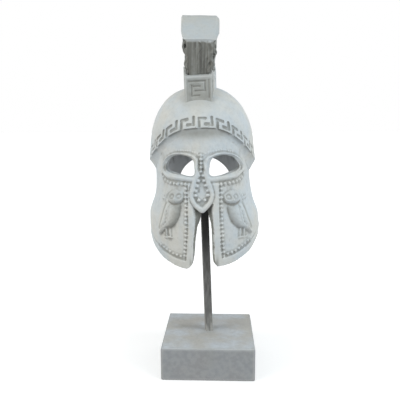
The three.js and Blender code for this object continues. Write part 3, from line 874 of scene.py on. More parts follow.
reliefSizes = {
    "eyeRim": 1.9,
    "eyeRimTop": 2.3,
    "eyeRimSill": 4.2,
    "eyeRimNose": 3.2,
    "sillSpan": ((172, 165.5), (30, 25)),  # heights and places across where it begins and is full
    "besideNoseSpan": ((181, 176), (9, 6)),
    "softSpan": (171, 177),
    "noseRim": 2.0,
    "noseRimEnd": (171, 176),
    "noseSunk": 0.7,
    "noseSunkEnd": (175, 179),
    "noseEdge": (0.3, -0.3),
    "strip": 1.5,
    "stripTop": (161, 157),
    "stripEdge": (0.5, -0.5),
    "stripFromNose": (-0.2, 0.7),
    "border": 1.5,
    "borderEdge": (0.6, -0.6),
    "borderWidth": 6.6,
    "borderFade": (0.75, 0.97, 0.4),  # from, to, what is left at the sides
    "panel": (36, 157),  # reach to the side and up
    "crevice": (0.8, 0.7, 0.5),  # place, width, depth
    "sideSpan": (0.8, 0.97),
    "sideInset": 0.6,
    "leftFlare": (138, 7, 1.6),  # height, spread, width
}
owl = {
    "shift": (1.3, -0.9),  # of the right one, and the other way for the left one
    "head": (20.9, 148.0, 6.2, 5.2, -4, 3.7),  # x, z, half width, half height, tilt, height
    "headTop": (146.5, 152.5, 0.45),  # where it sinks into the plate, and what is left there
    "body": [
        (17.4, 143.5), (17.7, 139.0), (18.5, 134.8), (20.2, 130.6), (22.4, 127.2), (25.2, 124.6),
        (28.4, 123.7), (31.6, 121.0), (34.3, 118.2), (35.7, 118.6), (35.0, 122.6), (33.7, 128.0),
        (31.9, 133.2), (30.3, 138.2), (28.6, 142.4), (24.0, 144.0),
    ],
    "domePower": 0.42,
    "bodySteps": 3,
    "creaseSteps": 2,
    "bodyHeight": 3.3,
    "bodyRounding": 4.0,
    "neck": (137, 143, 0.6),  # where the body sinks, and what is left there
    "feathers": (0.28, 2.1, 1.9, 0.2),  # slant, pace across and up, height
    "featherSpan": (1.0, 2.5),
    "creases": [  # lines cut beside the wing, above the tail and under the head
        [(28.9, 143.2), (30.9, 138.0), (32.5, 133.0), (34.3, 127.6), (35.8, 122.8)],
        [(25.4, 142.6), (26.9, 137.0), (28.0, 131.6), (29.4, 127.0), (34.6, 123.0)],
        [(15.6, 145.0), (17.4, 143.3), (20.6, 142.5), (24.0, 142.7), (26.8, 144.4)],
    ],
    "creaseCut": (0.9, 0.8),  # depth, width
    # painted shade in each crease
    "creaseShade": (0.9, 0.4, 1.1),
    "creaseShadeWidth": 0.55,
    "limbs": [
        (29.2, 120.6, 0.8, 4.0, 0, 1.3),
        (26.4, 120.8, 0.8, 3.8, -3, 1.3),
        (30.2, 116.6, 2.2, 0.8, 8, 1.2),
        (26.6, 117.0, 2.0, 0.8, 10, 1.1),
        (29.4, 147.4, 0.7, 4.0, 22, 0.8),
        (30.8, 146.6, 2.1, 0.9, 20, 1.0),
    ],
    "eyes": [(17.9, 148.8), (23.0, 148.5)],
    "eyeSaucer": (2.9, 1.0, 1.5),  # outer and inner radius, depth
    "eyeBall": (1.2, 1.0),
    "beak": (20.4, 146.4, 0.8, 2.8, -8, 0.9),
    "innerSide": ((124.0, 127.2, 130.6, 134.8, 139.0, 143.5), (25.6, 22.4, 20.2, 18.5, 17.7, 17.4)),
}


def domed(x, z, shape):
    cx, cz, wide, high, tilt, height = shape
    c, s = math.cos(math.radians(tilt)), math.sin(math.radians(tilt))
    u = ((x - cx) * c + (z - cz) * s) / wide
    v = ((z - cz) * c - (x - cx) * s) / high
    return height * np.clip(1 - u * u - v * v, 0, 1) ** owl["domePower"]


def sinking(value, low, high, left):
    return lerp(1, left, rise(low, high, value))


def lineDistance(line, x, z):
    return np.abs(outlineDistance(np.concatenate([line, line[-2:0:-1]]), x, z))


def owlPlace(x, z):  # where a point of either cheek lies on the drawn owl
    sidewise, upwise = owl["shift"]
    return np.abs(x) - np.sign(x) * sidewise, z - np.sign(x) * upwise


def owlCreases(x, z, width):
    lines = [curveThrough(line, owl["creaseSteps"], False) for line in owl["creases"]]
    return [hump(lineDistance(line, x, z), width) for line in lines]


def owlHeight(x, z):
    depth = -outlineDistance(curveThrough(owl["body"], owl["bodySteps"], True), x, z)
    fullness = np.clip(depth / owl["bodyRounding"], 0, 1)
    body = owl["bodyHeight"] * rounded(1 - fullness) * sinking(z, *owl["neck"])
    slant, across, up, height = owl["feathers"]
    feathers = height * np.cos(across * (x + slant * z)) * np.cos(up * z)
    body = body + feathers * rise(*owl["featherSpan"], depth)
    limbs = [domed(x, z, shape) for shape in owl["limbs"]]
    head = domed(x, z, owl["head"]) * sinking(z, *owl["headTop"])
    outer, inner, deep = owl["eyeSaucer"]
    ball, proud = owl["eyeBall"]
    for ex, ez in owl["eyes"]:
        far = np.hypot(x - ex, z - ez)
        head = head - deep * rise(outer, inner, far) + proud * rounded(far / ball)
    head = head + domed(x, z, owl["beak"])
    deep, width = owl["creaseCut"]
    cut = deep * np.max(owlCreases(x, z, width), axis=0)
    return np.max([head, body - cut, *limbs], axis=0)


def lowerEdgeAt(x, y):
    lift = faceShapes["rightLift"] * rise(*faceShapes["rightSpan"], x)
    return rowsAt(faceShapes["lowerEdge"], y)[0] + lift


def eyeOutline(side):
    return curveThrough(faceShapes["eyeRight" if side > 0 else "eyeLeft"], faceShapes["eyeSteps"], True)


def mirroredOutline(name):
    half = curveThrough(faceShapes[name], faceShapes["noseSteps"], False)
    return np.concatenate([half, half[:0:-1] * (-1, 1)])


# Wider along the sill and beside the nose, and softer above the eye
def eyeRims(x, z):
    sizes = reliefSizes
    away = np.abs(x)
    widths = []
    for name, span in (("eyeRimSill", "sillSpan"), ("eyeRimNose", "besideNoseSpan")):
        heights, places = sizes[span]
        widths.append(lerp(sizes["eyeRimTop"], sizes[name], rise(*heights, z) * rise(*places, away)))
    width = np.maximum(*widths)
    distance = np.minimum(*(outlineDistance(eyeOutline(side), x, z) for side in (1, -1)))
    bar = rounded(2 * distance / width - 1)
    soft = 0.5 + 0.5 * np.cos(np.pi * np.clip(1.5 * distance / width - 1, -1, 1))
    return sizes["eyeRim"] * lerp(bar, soft, rise(*sizes["softSpan"], z) * (distance > 0))


def noseRims(x, z):
    sizes = reliefSizes
    field = outlineDistance(mirroredOutline("noseField"), x, z)
    outer = outlineDistance(mirroredOutline("noseOuter"), x, z)
    share = np.clip(field / np.maximum(field - outer, 0.01), 0, 1)
    bar = rounded(2 * share - 1) * (outer < 0) * (field > 0)
    bar = sizes["noseRim"] * bar * (1 - rise(*sizes["noseRimEnd"], z))
    sunk = -sizes["noseSunk"] * rise(*sizes["noseEdge"], field) * (1 - rise(*sizes["noseSunkEnd"], z))
    return bar, sunk, outer


def faceRelief(points):
    x, y, z = np.moveaxis(points, -1, 0)
    sizes = reliefSizes
    away = np.abs(x)
    bar, sunk, outer = noseRims(x, z)
    right, left = (rowsAt(faceShapes[name], z)[0] for name in ("stripRight", "stripLeft"))
    edge = away - np.where(x > 0, right, left)
    strip = sizes["strip"] * rise(*sizes["stripEdge"], edge) * rise(*sizes["stripTop"], z)
    strip = strip * rise(*sizes["stripFromNose"], outer)
    above = z - lowerEdgeAt(x, y) - sizes["borderWidth"]
    outward = away / faceSizes(z)[0]
    border = sizes["border"] * rise(*sizes["borderEdge"], above)
    border = border * sinking(outward, *sizes["borderFade"])
    side, top = sizes["panel"]
    inPanel = (edge > 0) & (above > 0) & (away < side) & (z < top)
    place, width, depth = sizes["crevice"]
    crevice = hump(edge - place, width) + hump(above - place, width)
    raised = np.max([eyeRims(x, z), bar, strip, border, owlHeight(*owlPlace(x, z))], axis=0)
    raised = raised - np.where(inPanel, depth * crevice, 0) + sunk
    raised = np.where(y < 0, raised, border)
    middle, spread, width = sizes["leftFlare"]
    flare = np.where(x < 0, width * hump(z - middle, spread), -sizes["sideInset"])
    return raised + rise(*sizes["sideSpan"], outward) * flare


# Rows of beads, each laid along a curve of the front view
beads = {
    "radius": 1.38,
    "jitter": 0.1,
    "seed": 7,
    "knotSteps": 8,
    "detail": 3,
    "rows": [  # points as x and z, count, size
        ([(-11.4, 158.4), (-11.8, 145.0), (-12.3, 133.4), (-12.9, 120.0), (-14.6, 104.0)], 18, 1.0),
        ([(14.4, 157.4), (14.1, 140.0), (14.2, 122.0), (14.9, 103.0)], 18, 1.0),
        ([(-30.2, 166.2), (-28.6, 161.9), (-25.2, 159.7), (-20.1, 158.5), (-14.3, 158.6)], 8, 1.0),
        ([(31.7, 163.4), (29.0, 159.6), (24.0, 158.2), (17.4, 157.6)], 7, 1.0),
        ([(-17.6, 103.4), (-23.9, 105.1), (-28.4, 107.6), (-33.4, 110.4)], 7, 0.9),
        ([(17.9, 104.4), (23.1, 105.8), (31.0, 110.0), (35.6, 113.4)], 8, 0.9),
        ([(0.4, 179.4), (0.1, 167.6)], 5, 0.95),
        ([(-1.4, 164.6), (-2.1, 160.9), (-3.2, 157.3), (-4.4, 153.4)], 4, 0.95),
        ([(1.4, 164.6), (2.1, 160.9), (3.2, 157.3), (4.4, 153.4)], 4, 0.95),
        ([(-4.6, 150.0), (-2.4, 146.4)], 2, 0.95),
        ([(4.6, 150.0), (2.4, 146.4)], 2, 0.95),
        ([(-1.0, 179.4), (-3.0, 181.0), (-6.0, 182.2), (-8.1, 182.9), (-12.5, 183.2), (-17.6, 183.4)],
         11, 0.45),
        ([(2.2, 179.4), (5.2, 180.9), (7.9, 181.6), (10.6, 182.2), (16.5, 182.8), (23.6, 181.2)], 13, 0.45),
    ],
}


def beadTree():
    inputs = {"Radius": "Float", "Jitter": "Float", "Seed": "Int"}
    board, given = newTree("beadRows", inputs)
    rows = board.node("GeometryNodeMeshToCurve", None, [given["Geometry"]])
    count = board.attribute("beadCount", "INT")
    places = board.node("GeometryNodeResampleCurve", None, {"Curve": rows, "Count": count})
    sphere = {"Radius": given["Radius"], "Subdivisions": beads["detail"]}
    ball = board.node("GeometryNodeMeshIcoSphere", None, sphere)
    scale = board.random(1 - given["Jitter"], 1 + given["Jitter"], {"Seed": given["Seed"]})
    scale = scale * board.attribute("beadSize", "FLOAT")
    values = {"Points": places, "Instance": ball, "Scale": scale}
    balls = board.node("GeometryNodeInstanceOnPoints", None, values)
    return endTree(board, balls, given["Material"])


def makeBeads():
    points, edges, counts, sizes = [], [], [], []
    total = 0
    for knots, count, size in beads["rows"]:
        line = curveThrough(knots, beads["knotSteps"], False)
        edges += [(total + i, total + i + 1) for i in range(len(line) - 1)]
        total += len(line)
        points.append(facePoints(*line.T))
        counts.append(np.full(len(line), count, np.int32))
        sizes.append(np.full(len(line), size))
    piece = meshObject("beads", np.concatenate(points), edges=edges)
    setAttribute(piece.data, "beadCount", "INT", np.concatenate(counts))
    setAttribute(piece.data, "beadSize", "FLOAT", np.concatenate(sizes))
    return runTree(piece, beadTree(), {
        "Radius": beads["radius"] * mm,
        "Jitter": beads["jitter"],
        "Seed": beads["seed"],
    })


# Running key: strokes drawn flat, then bent onto the band between two edges
keyBand = {
    "units": 22,
    "stroke": 1.9,
    "depth": 1.1,
    "clear": 2.0,
    "high": 9.4,
    "bulge": 0.35,
    "pathSteps": 720,
    "upright": (-2.0, 8.4, 0.41),  # from, to, reach of its bar as a share of the unit
    "hook": (2.4, 9.4, 0.7, 0.28),  # from, to, place and reach as shares of the unit
}


def keyStrokes(pitch):
    half = keyBand["stroke"] / 2
    low, high, reach = keyBand["upright"]
    reach = reach * pitch
    upright = [
        (-half, low), (half, low), (half, high - 2 * half),
        (reach, high - 2 * half), (reach, high), (-half, high),
    ]
    low, high, place, reach = keyBand["hook"]
    place, reach = place * pitch, reach * pitch
    hook = [
        (place + half, high), (place - half, high), (place - half, low + 2 * half),
        (reach, low + 2 * half), (reach, low), (place + half, low),
    ]
    return upright, hook


# Solid of an outline in x and z, cut into lengths of about 1 mm so that it can bend
def strokeSolid(outline):
    dense = []
    for a, b in zip(outline, np.roll(outline, -1, axis=0)):
        steps = max(1, round(np.linalg.norm(b - a)))
        dense += [lerp(a, b, i / steps) for i in range(steps)]
    x, z = np.array(dense).T
    return [placed(x, y, z) for y in (keyBand["depth"], -keyBand["clear"])]


# Instances of the flat strokes in a line, laid along the way from the lower edge to the upper one
def keyTree():
    inputs = {
        "Lower": "Object", "Upper": "Object", "Units": "Int", "Pitch": "Float", "High": "Float",
        "Bulge": "Float",
    }
    board, given = newTree("runningKey", inputs)
    step = board.node("ShaderNodeCombineXYZ", None, [given["Pitch"], 0.0, 0.0])
    line = board.node("GeometryNodeMeshLine", None, {"Count": given["Units"], "Offset": step})
    row = board.node("GeometryNodeInstanceOnPoints", None, {"Points": line, "Instance": given["Geometry"]})
    row = board.node("GeometryNodeRealizeInstances", None, [row])
    flat = board.node("GeometryNodeInputPosition")
    along = board.node("ShaderNodeSeparateXYZ", None, [flat], "X")
    deep = along.also("Y")
    up = along.also("Z") / given["High"]
    turn = (along / (given["Pitch"] * given["Units"])).through("FRACT")
    edges = []
    for key in ("Lower", "Upper"):
        info = board.node("GeometryNodeObjectInfo", None, [given[key]], "Geometry")
        curve = board.node("GeometryNodeMeshToCurve", None, [info])
        values = {"Curves": curve, "Factor": turn}
        edges.append(board.node("GeometryNodeSampleCurve", {"mode": "FACTOR"}, values, 1))
    climb = board.vector("SUBTRACT", edges[1], edges[0])
    out = board.vector("NORMALIZE", board.vector("CROSS_PRODUCT", edges[0].also("Tangent"), climb))
    lift = up * (1 - up) * 4 * given["Bulge"] - deep
    place = board.vector("ADD", edges[0], board.scaled(climb, up))
    place = board.vector("ADD", place, board.scaled(out, lift))
    bent = board.node("GeometryNodeSetPosition", None, {"Geometry": row, "Position": place})
    return endTree(board, bent, given["Material"])


keyNodes = keyTree()


def pathObject(name, points, closed):
    count = len(points)
    edges = [(i, (i + 1) % count) for i in range(count if closed else count - 1)]
    return meshObject(name, points, edges=edges)


# A key along a lower path, up towards the upper one
def layKey(name, lower, upper, closed, units, bulge, shift):
    steps = np.diff(lower, axis=0, append=lower[:1]) if closed else np.diff(lower, axis=0)
    pitch = np.sum(np.linalg.norm(steps, axis=1)) / units
    piece = None
    for outline in keyStrokes(pitch):
        made = loftObject(name, strokeSolid(np.array(outline) + (shift, 0)))
        piece = made if piece is None else addTo(piece, made)
    paths = [pathObject("keyPath", points, closed) for points in (lower, upper)]
    runTree(piece, keyNodes, {
        "Lower": paths[0],
        "Upper": paths[1],
        "Units": units,
        "Pitch": pitch * mm,
        "High": keyBand["high"] * mm,
        "Bulge": bulge * mm,
    })
    for path in paths:
        bpy.data.objects.remove(path)
    return piece


def makeKeyGrooves():
    turn = turns(keyBand["pathSteps"])
    paths = [crownPoints(turn, above) for above in (0.0, keyBand["high"])]
    return layKey("keyGrooves", *paths, True, keyBand["units"], keyBand["bulge"], 0.0)


# Helmet shell
shell = {
    "columns": 560,
    "rowStep": 0.5,
    "crownRows": 110,
    "crownReach": 0.975,  # share of the dome's rise
    "hollowColumns": 96,
    "hollowFrom": 2,  # above the lowest row
    "hollowStep": 4.0,
    "hollowRows": 12,
    "hollowReach": 0.97,
    "voxel": 0.45,
    "triangles": 190000,
    "waves": [(14.0, 0.15, 11), (5.0, 0.12, 12), (2.4, 0.08, 13)],
}


def makeFace():
    table = helmetForm["face"]
    heights = np.arange(table[0][0], table[-1][0] + 0.01, shell["rowStep"])
    turn, z = np.meshgrid(turns(shell["columns"]), heights)
    relief = faceRelief(planPoints(faceSizes(z), turn, z))
    return loftObject("helmet", planPoints(faceSizes(z, relief), turn, z))


# Dome above the brow's edge; below it a small lip, then a cove down to the face
def makeCrown():
    turn = turns(shell["columns"])
    edge = crownPoints(turn, 0.0)
    z = edge[:, 2]
    beside = np.abs(np.sin(turn)) ** browEdge["templeNarrow"]
    low = z - lerp(browEdge["coveFront"], browEdge["coveTemple"], beside)
    lowSizes = faceSizes(low, -browEdge["coveSunk"])
    lip = browEdge["lip"] * (1 - browEdge["lipFade"] * beside)
    lipSizes = np.array(crownSizes(z)) + browEdge["flare"] * np.abs(np.sin(turn)) - lip
    lipHeight = z + browEdge["lipRise"] * (1 - beside)
    height, share = browEdge["buried"]
    rings = [planPoints(share * lipSizes, turn, height)]
    for share in np.linspace(0, 1, browEdge["coveSteps"]):
        angle = share * math.pi / 2
        out = lerp(1 - math.cos(angle), share, beside)
        up = lerp(math.sin(angle), share, beside)
        rings.append(planPoints(lerp(lowSizes, lipSizes, out), turn, lerp(low, lipHeight, up)))
    rings.append(edge)
    top = helmetForm["crownTop"]
    for row in range(1, shell["crownRows"] + 1):
        share = math.sin(row / shell["crownRows"] * shell["crownReach"] * math.pi / 2)
        rings.append(crownPoints(turn, (top - browHeight(turn)) * share))
    return loftObject("crown", rings)


def makeHollow():
    turn = turns(shell["hollowColumns"])
    lowest = helmetForm["face"][0][0]
    spring, ceiling = helmetForm["crownSpring"], helmetForm["hollowCeiling"]
    levels = np.arange(lowest + shell["hollowFrom"], spring, shell["hollowStep"])
    heights = [helmetForm["hollowBelow"], *levels]
    for share in np.linspace(0, shell["hollowReach"], shell["hollowRows"]):
        heights.append(lerp(spring, ceiling, math.sin(share * math.pi / 2)))
    rings = [planPoints(hollowSizes(max(z, lowest)), turn, z) for z in np.array(heights)]
    return loftObject("hollow", rings)


def makeEyeHole(side):
    outline = eyeOutline(side)
    middle = outline[:, 0].mean()
    outer, inner = faceShapes["eyeWall"]
    places, heights = faceShapes["eyeSillSpan"]
    sill = rise(*places, np.abs(outline[:, 0])) * rise(*heights, outline[:, 1])
    rings = []
    for y in (0.0, faceShapes["cutFront"]):
        depth = (y - outer) / (inner - outer)
        x = middle + (outline[:, 0] - middle) * lerp(1, faceShapes["eyeTaper"], depth)
        z = outline[:, 1] + faceShapes["eyeSill"] * depth * sill
        rings.append(placed(x, y, z))
    return loftObject("eyeHole", rings)


def makeSlot():
    outer, inner = faceShapes["slotWall"]
    front = faceShapes["cutFront"]
    rings = []
    for y in (faceShapes["slotBack"], inner, front):
        depth = min(1, (y - outer) / (inner - outer))
        sides = []
        for name, side in (("slotRight", 1), ("slotLeft", -1)):
            table = curveThrough(faceShapes[name], faceShapes["slotSteps"], False)
            half = lerp(table[:, 1], table[:, 2], depth)
            sides.append(placed(side * half, y, table[:, 0]))
        rings.append(np.concatenate([sides[0], sides[1][::-1]]))
    slot = loftObject("slot", rings)
    outline = mirroredOutline("noseOuter")
    guard = frontBar("noseGuard", outline, faceShapes["noseBack"], front - faceShapes["cutOver"])
    return cutWith(slot, guard)


def makeLowerCut():
    first, last = (faceShapes["lowerEdge"][row][0] for row in (0, -1))
    y = np.linspace(first, last, faceShapes["lowerSteps"])
    below = helmetForm["hollowBelow"]
    rings = []
    for x in faceShapes["lowerRows"]:
        line = np.column_stack([y, lowerEdgeAt(x, y)])
        outline = np.concatenate([line, [(last, below), (first, below)]])[::-1]
        rings.append(placed(x, *outline.T))
    return loftObject("lowerCut", rings)


def makeRearArch():
    half, spring = faceShapes["rearHalf"], faceShapes["rearSpring"]
    turn = np.linspace(0, np.pi, faceShapes["rearSteps"])
    arch = np.column_stack([half * np.cos(turn), spring + half * np.sin(turn)])
    below = helmetForm["hollowBelow"]
    outline = np.concatenate([arch, [(-half, below), (half, below)]])
    return frontBar("rearArch", outline, *faceShapes["rearReach"])


# Painted shade in the slot, under the brow (with a smudge) and on the owls; painted shade and dirt below
# the holder; the inside painted paler, as light bounced up from the floor makes it
shellShadeAndDirt = {
    # painted shade on the slot's walls
    "slot": {"darkening": 1.3, "wall": (-44.6, -43.6), "back": (-30, -33), "side": (12, 9), "top": (145, 141)},
    "crown": [  # painted shade and dirt below the holder and over the crown's front: darkening, half width, its fade, height, spread
        (0.4, 9, 4, 219, 5),
        (0.13, 0, 15, 211, 9),
    ],
    "crownFront": -20,
    # painted shade under the brow, with a smudge
    "forehead": (0, 21, 195, 4),
    # painted shade on the owls' inner sides
    "owlAcross": (9.5, 1.5),
    "owlEdge": -0.4,
    "owlLow": (123.5, 125),
    "owlHigh": (144, 143),
    "owlHead": (0.4, 0.5),  # painted shade, from what height
    "owlSides": (1.05, 0.65),  # left, right
    # painted light: where the inside is paler
    "insideHeights": (84, 208),
    "insideSpan": (1.14, 1.04),
    "insideTop": (215, 213),
}


def softPatch(away, z, half, fade, height, spread):
    return hump(np.maximum(0, away - half), fade) * hump(z - height, spread)


# Painted shade on the inner side of each owl's body, on its head and in its creases
def owlShade(x, z):
    birdX, birdZ = owlPlace(x, z)
    inward = birdX - np.interp(birdZ, *owl["innerSide"])
    body = rise(*shellShadeAndDirt["owlAcross"], inward) * (inward > shellShadeAndDirt["owlEdge"])
    body = body * rise(*shellShadeAndDirt["owlLow"], birdZ) * rise(*shellShadeAndDirt["owlHigh"], birdZ)
    darkening, above = shellShadeAndDirt["owlHead"]
    owls = np.maximum(body, darkening * (domed(birdX, birdZ, owl["head"]) > above))
    owls = owls * np.where(x < 0, *shellShadeAndDirt["owlSides"])
    creases = owlCreases(birdX, birdZ, owl["creaseShadeWidth"])
    return np.max([owls, *(darkening * line for darkening, line in zip(owl["creaseShade"], creases))], axis=0)


def shellShadeAndDirtAt(x, y, z):
    away = np.abs(x)
    slot = shellShadeAndDirt["slot"]
    inSlot = rise(*slot["wall"], y) * rise(*slot["back"], y) * rise(*slot["side"], away)
    dirtAndShade = slot["darkening"] * (inSlot * rise(*slot["top"], z))
    for darkening, *patch in shellShadeAndDirt["crown"]:
        dirtAndShade = dirtAndShade + darkening * (softPatch(away, z, *patch) * (y < shellShadeAndDirt["crownFront"]))
    forehead = softPatch(away, z, *shellShadeAndDirt["forehead"])
    return dirtAndShade + (owlShade(x, z) + forehead) * (y < 0)


def insideShell(x, y, z):
    side, front, back = hollowSizes(np.clip(z, *shellShadeAndDirt["insideHeights"]))
    power = helmetForm["roundness"]
    reach = (np.abs(x) / side) ** power + (np.abs(y) / np.where(y < 0, front, back)) ** power
    return rise(*shellShadeAndDirt["insideSpan"], reach ** (1 / power)) * rise(*shellShadeAndDirt["insideTop"], z)


def makeHelmet():
    piece = makeFace()
    crown = cutWith(makeCrown(), makeKeyGrooves())
    cutWith(piece, makeSlot())
    addTo(piece, crown)
    for tool in (makeHollow(), makeEyeHole(1), makeEyeHole(-1), makeLowerCut(), makeRearArch()):
        cutWith(piece, tool)
    addTo(piece, makeBeads())
    castAsOne(piece, shell)
    points = pointsOf(piece.data)
    setAttribute(piece.data, "inside", "FLOAT", insideShell(*points.T))
    finishCasting(piece, points, shellShadeAndDirtAt(*points.T), "helmet_shell")


# Crest holder: a channel along an arc in the middle plane
holder = {
    "y": 3.0, "z": 182.6, "front": 65.0, "back": 55.0, "high": 65.0, "face": -33.0, "end": 80.0,
    "half": (10.0, 13.2, 11.5, 1.0),  # front, middle, back, skew
    "wall": 2.4, "floor": 7.0, "over": 10.0, "buried": 25.0,
    "spiralDepth": 0.75,
    "spiral": [  # x, z, width, height
        (-1.0, 232.9, 12.8, 1.4), (4.9, 229.5, 1.3, 8.2), (0.9, 226.1, 7.8, 1.3),
        (-1.2, 229.3, 6.0, 1.3), (-4.9, 226.3, 1.3, 8.8), (-1.9, 222.6, 6.2, 1.3), (7.8, 227.6, 1.0, 13.5),
    ],
    "sideKey": {"units": 11, "from": 1.5, "short": 4.0, "shift": 1.2, "lower": -13.0, "upper": -3.6},
    "darkening": 0.3,
    "frontShadeAndDirt": (0.7, 0.4),  # painted shade and dirt: below the front's rim, on it
    "frontSpan": (20.0, 6.0), "rimSpan": (234.4, 235.2),
    "steps": 60, "voxel": 0.4, "triangles": 90000,
    "waves": [(9.0, 0.08, 21), (3.0, 0.04, 22)],
}


def bulged(sizes, share):
    front, middle, back, skew = sizes
    bulge = middle - (front + back) / 2
    return lerp(front, back, share) + bulge * np.sin(np.pi * share**skew)


def holderHalf(y):
    share = np.clip((y - holder["face"]) / (holder["y"] + holder["back"] - holder["face"]), 0, 1)
    return bulged(holder["half"], share)


def arcPoint(degrees, grow=0.0):
    angle = np.radians(degrees)
    reach = np.where(angle < 0, holder["front"], holder["back"])
    y = holder["y"] + (reach + grow) * np.sin(angle)
    return y, holder["z"] + (holder["high"] + grow) * np.cos(angle)


def arcLine(fromY, to, grow):
    start = np.degrees(np.arcsin((fromY - holder["y"]) / (holder["front"] + grow)))
    return arcPoint(np.linspace(start, to, holder["steps"] + 1), grow)


def arcBar(name, fromY, to, low, high, inset):
    lowY, lowZ = arcLine(fromY, to, low)
    highY, highZ = arcLine(fromY, to, high)
    lowHalf, highHalf = holderHalf(lowY) - inset, holderHalf(highY) - inset
    low = [placed(side * lowHalf, lowY, lowZ) for side in (1, -1)]
    high = [placed(side * highHalf, highY, highZ) for side in (-1, 1)]
    return loftObject(name, np.stack(low + high, axis=1))


# A key along each side wall, as on the brow
def sideGrooves(side):
    size = holder["sideKey"]
    paths = []
    for grow in (size["lower"], size["upper"]):
        y, z = arcLine(holder["face"] + size["from"], holder["end"] - size["short"], grow)
        paths.append(placed(side * holderHalf(y), y, z)[::side])
    return layKey("sideKey", *paths, False, size["units"], 0.0, size["shift"])


def makeHolder():
    face, end, wall = holder["face"], holder["end"], holder["wall"]
    piece = arcBar("crest_channel", face, end, -holder["buried"], 0, 0)
    cutWith(piece, arcBar("channel", face + wall, end - wall, -holder["floor"], holder["over"], wall))
    depth = holder["spiralDepth"]
    for x, z, wide, high in holder["spiral"]:
        low, top = (x - wide / 2, face - depth, z - high / 2), (x + wide / 2, face + depth, z + high / 2)
        cutWith(piece, boxObject("groove", low, top))
    for side in (-1, 1):
        cutWith(piece, sideGrooves(side))
    castAsOne(piece, holder)
    points = pointsOf(piece.data)
    inFront = rise(*(face + depth for depth in holder["frontSpan"]), points[:, 1])
    onFront = lerp(*holder["frontShadeAndDirt"], rise(*holder["rimSpan"], points[:, 2]))
    finishCasting(piece, points, np.clip(inFront * onFront + holder["darkening"], 0, 1), "crest_holder")


# Crest: a smooth rim over carved hair
crest = {
    "y": 9.0, "z": 229.5, "radius": 57.5, "tip": -55.0, "tail": 117.0,
    "rootFrom": -33.6, "neckFrom": -30.2, "rootTo": 74.0, "clear": 1.0,
    "root": (5.8, 8.5, 4.2, 0.9), "neck": (9.2, 11.5, 6.9, 0.9),
    "waist": (10.4, 11.6, 5.6, 0.7), "rim": (12.1, 13.3, 6.3, 0.62),
    "rimFront": 0.03, "rimSide": 0.36, "rimBlend": 0.2, "rimStep": 0.05,
    "rimRound": 0.5, "rimEdge": 0.03, "wearAndHighlight": (2.4, 0.06), "lip": 0.9,
    "sunk": 0.6,  # core below the locks
    "pivot": (0.0, 10.0, 243.0), "tilt": 2.9, "turn": 2.0,
    "stations": 80, "voxel": 0.42, "triangles": 180000,
    "waves": [(9.0, 0.12, 31), (3.0, 0.07, 32)],
    # painted shade and dirt on the hair, lighter on its sides, with painted shade between strands on its
    # front
    "darkening": 0.4, "hairShadeAndDirt": 1.02, "sideLighter": 0.5, "strandShade": 0.3,
    "hairSpan": (0.0, 1.2), "sideSpan": (0.82, 1.0), "behindSpan": (0.5, 9), "frontSpan": (4, 1),
}
hair = {
    "sideLocks": 56, "frontLocks": 11, "steps": 14, "points": 26, "below": 0.04,
    "scallop": (1.7, 12, 6.3), "scallopSpan": (0.14, 0.02),  # reach, pace, phase
    "spread": 1.1, "spreadSpan": (0.2, 0.03), "sides": 10, "thick": 1.0, "proud": 0.5, "stray": 0.25,
    "wave": 1.5, "sideWave": 0.4, "pace": (8.0, 14.0), "taper": 0.38,
    "frontInset": 0.93, "frontDepth": (-0.5, 0.9), "jitter": 0.35, "seed": 5,
    "strands": (13, 2, 41),  # pace across and along, seed
}


def rimDepth(share):
    return lerp(crest["rimFront"], crest["rimSide"], np.minimum(1, share / crest["rimBlend"]))


def crestLines(share):  # root, neck and rim in the middle plane, as y and z
    clear, radius = crest["clear"], crest["radius"]
    root = arcPoint(lerp(crest["rootFrom"], crest["rootTo"], share), clear - holder["floor"])
    neck = arcPoint(lerp(crest["neckFrom"], crest["rootTo"], share), clear)
    angle = np.radians(lerp(crest["tip"], crest["tail"], share))
    rim = crest["y"] + radius * np.sin(angle), crest["z"] + radius * np.cos(angle)
    return np.array(root), np.array(neck), np.array(rim)


def frontWay(neck, rim):  # out of the hair's front face
    flow = (rim - neck) / np.hypot(*(rim - neck))
    return np.array((-flow[1], flow[0]))


def makeCrestCore():
    sunk = crest["sunk"]
    wornWide, wornDeep = crest["wearAndHighlight"]
    rings = []
    for share in np.linspace(0, 1, crest["stations"] + 1):
        root, neck, rim = crestLines(share)
        if share == 0:  # the rim stands out over the hair in front
            rim = rim + crest["lip"] * frontWay(neck, rim)
        depth = rimDepth(share)
        half = bulged(crest["rim"], share)
        rows = [
            (bulged(crest["root"], share), root),
            (bulged(crest["neck"], share) - sunk, neck),
            (bulged(crest["waist"], share) - sunk, lerp(rim, neck, depth + crest["rimStep"])),
            (half, lerp(rim, neck, depth)),
            (half, lerp(rim, neck, crest["rimEdge"])),
            (half - crest["rimRound"], rim),
        ]
        left = [(-wide, *place) for wide, place in rows]
        right = [(wide, *place) for wide, place in rows]
        right[-2] = (half, *lerp(rim, neck, wornDeep))
        right[-1] = (half - wornWide, *rim)
        rings.append(left + [(0, *rim)] + right[::-1])
    return loftObject("crest_hair", rings)


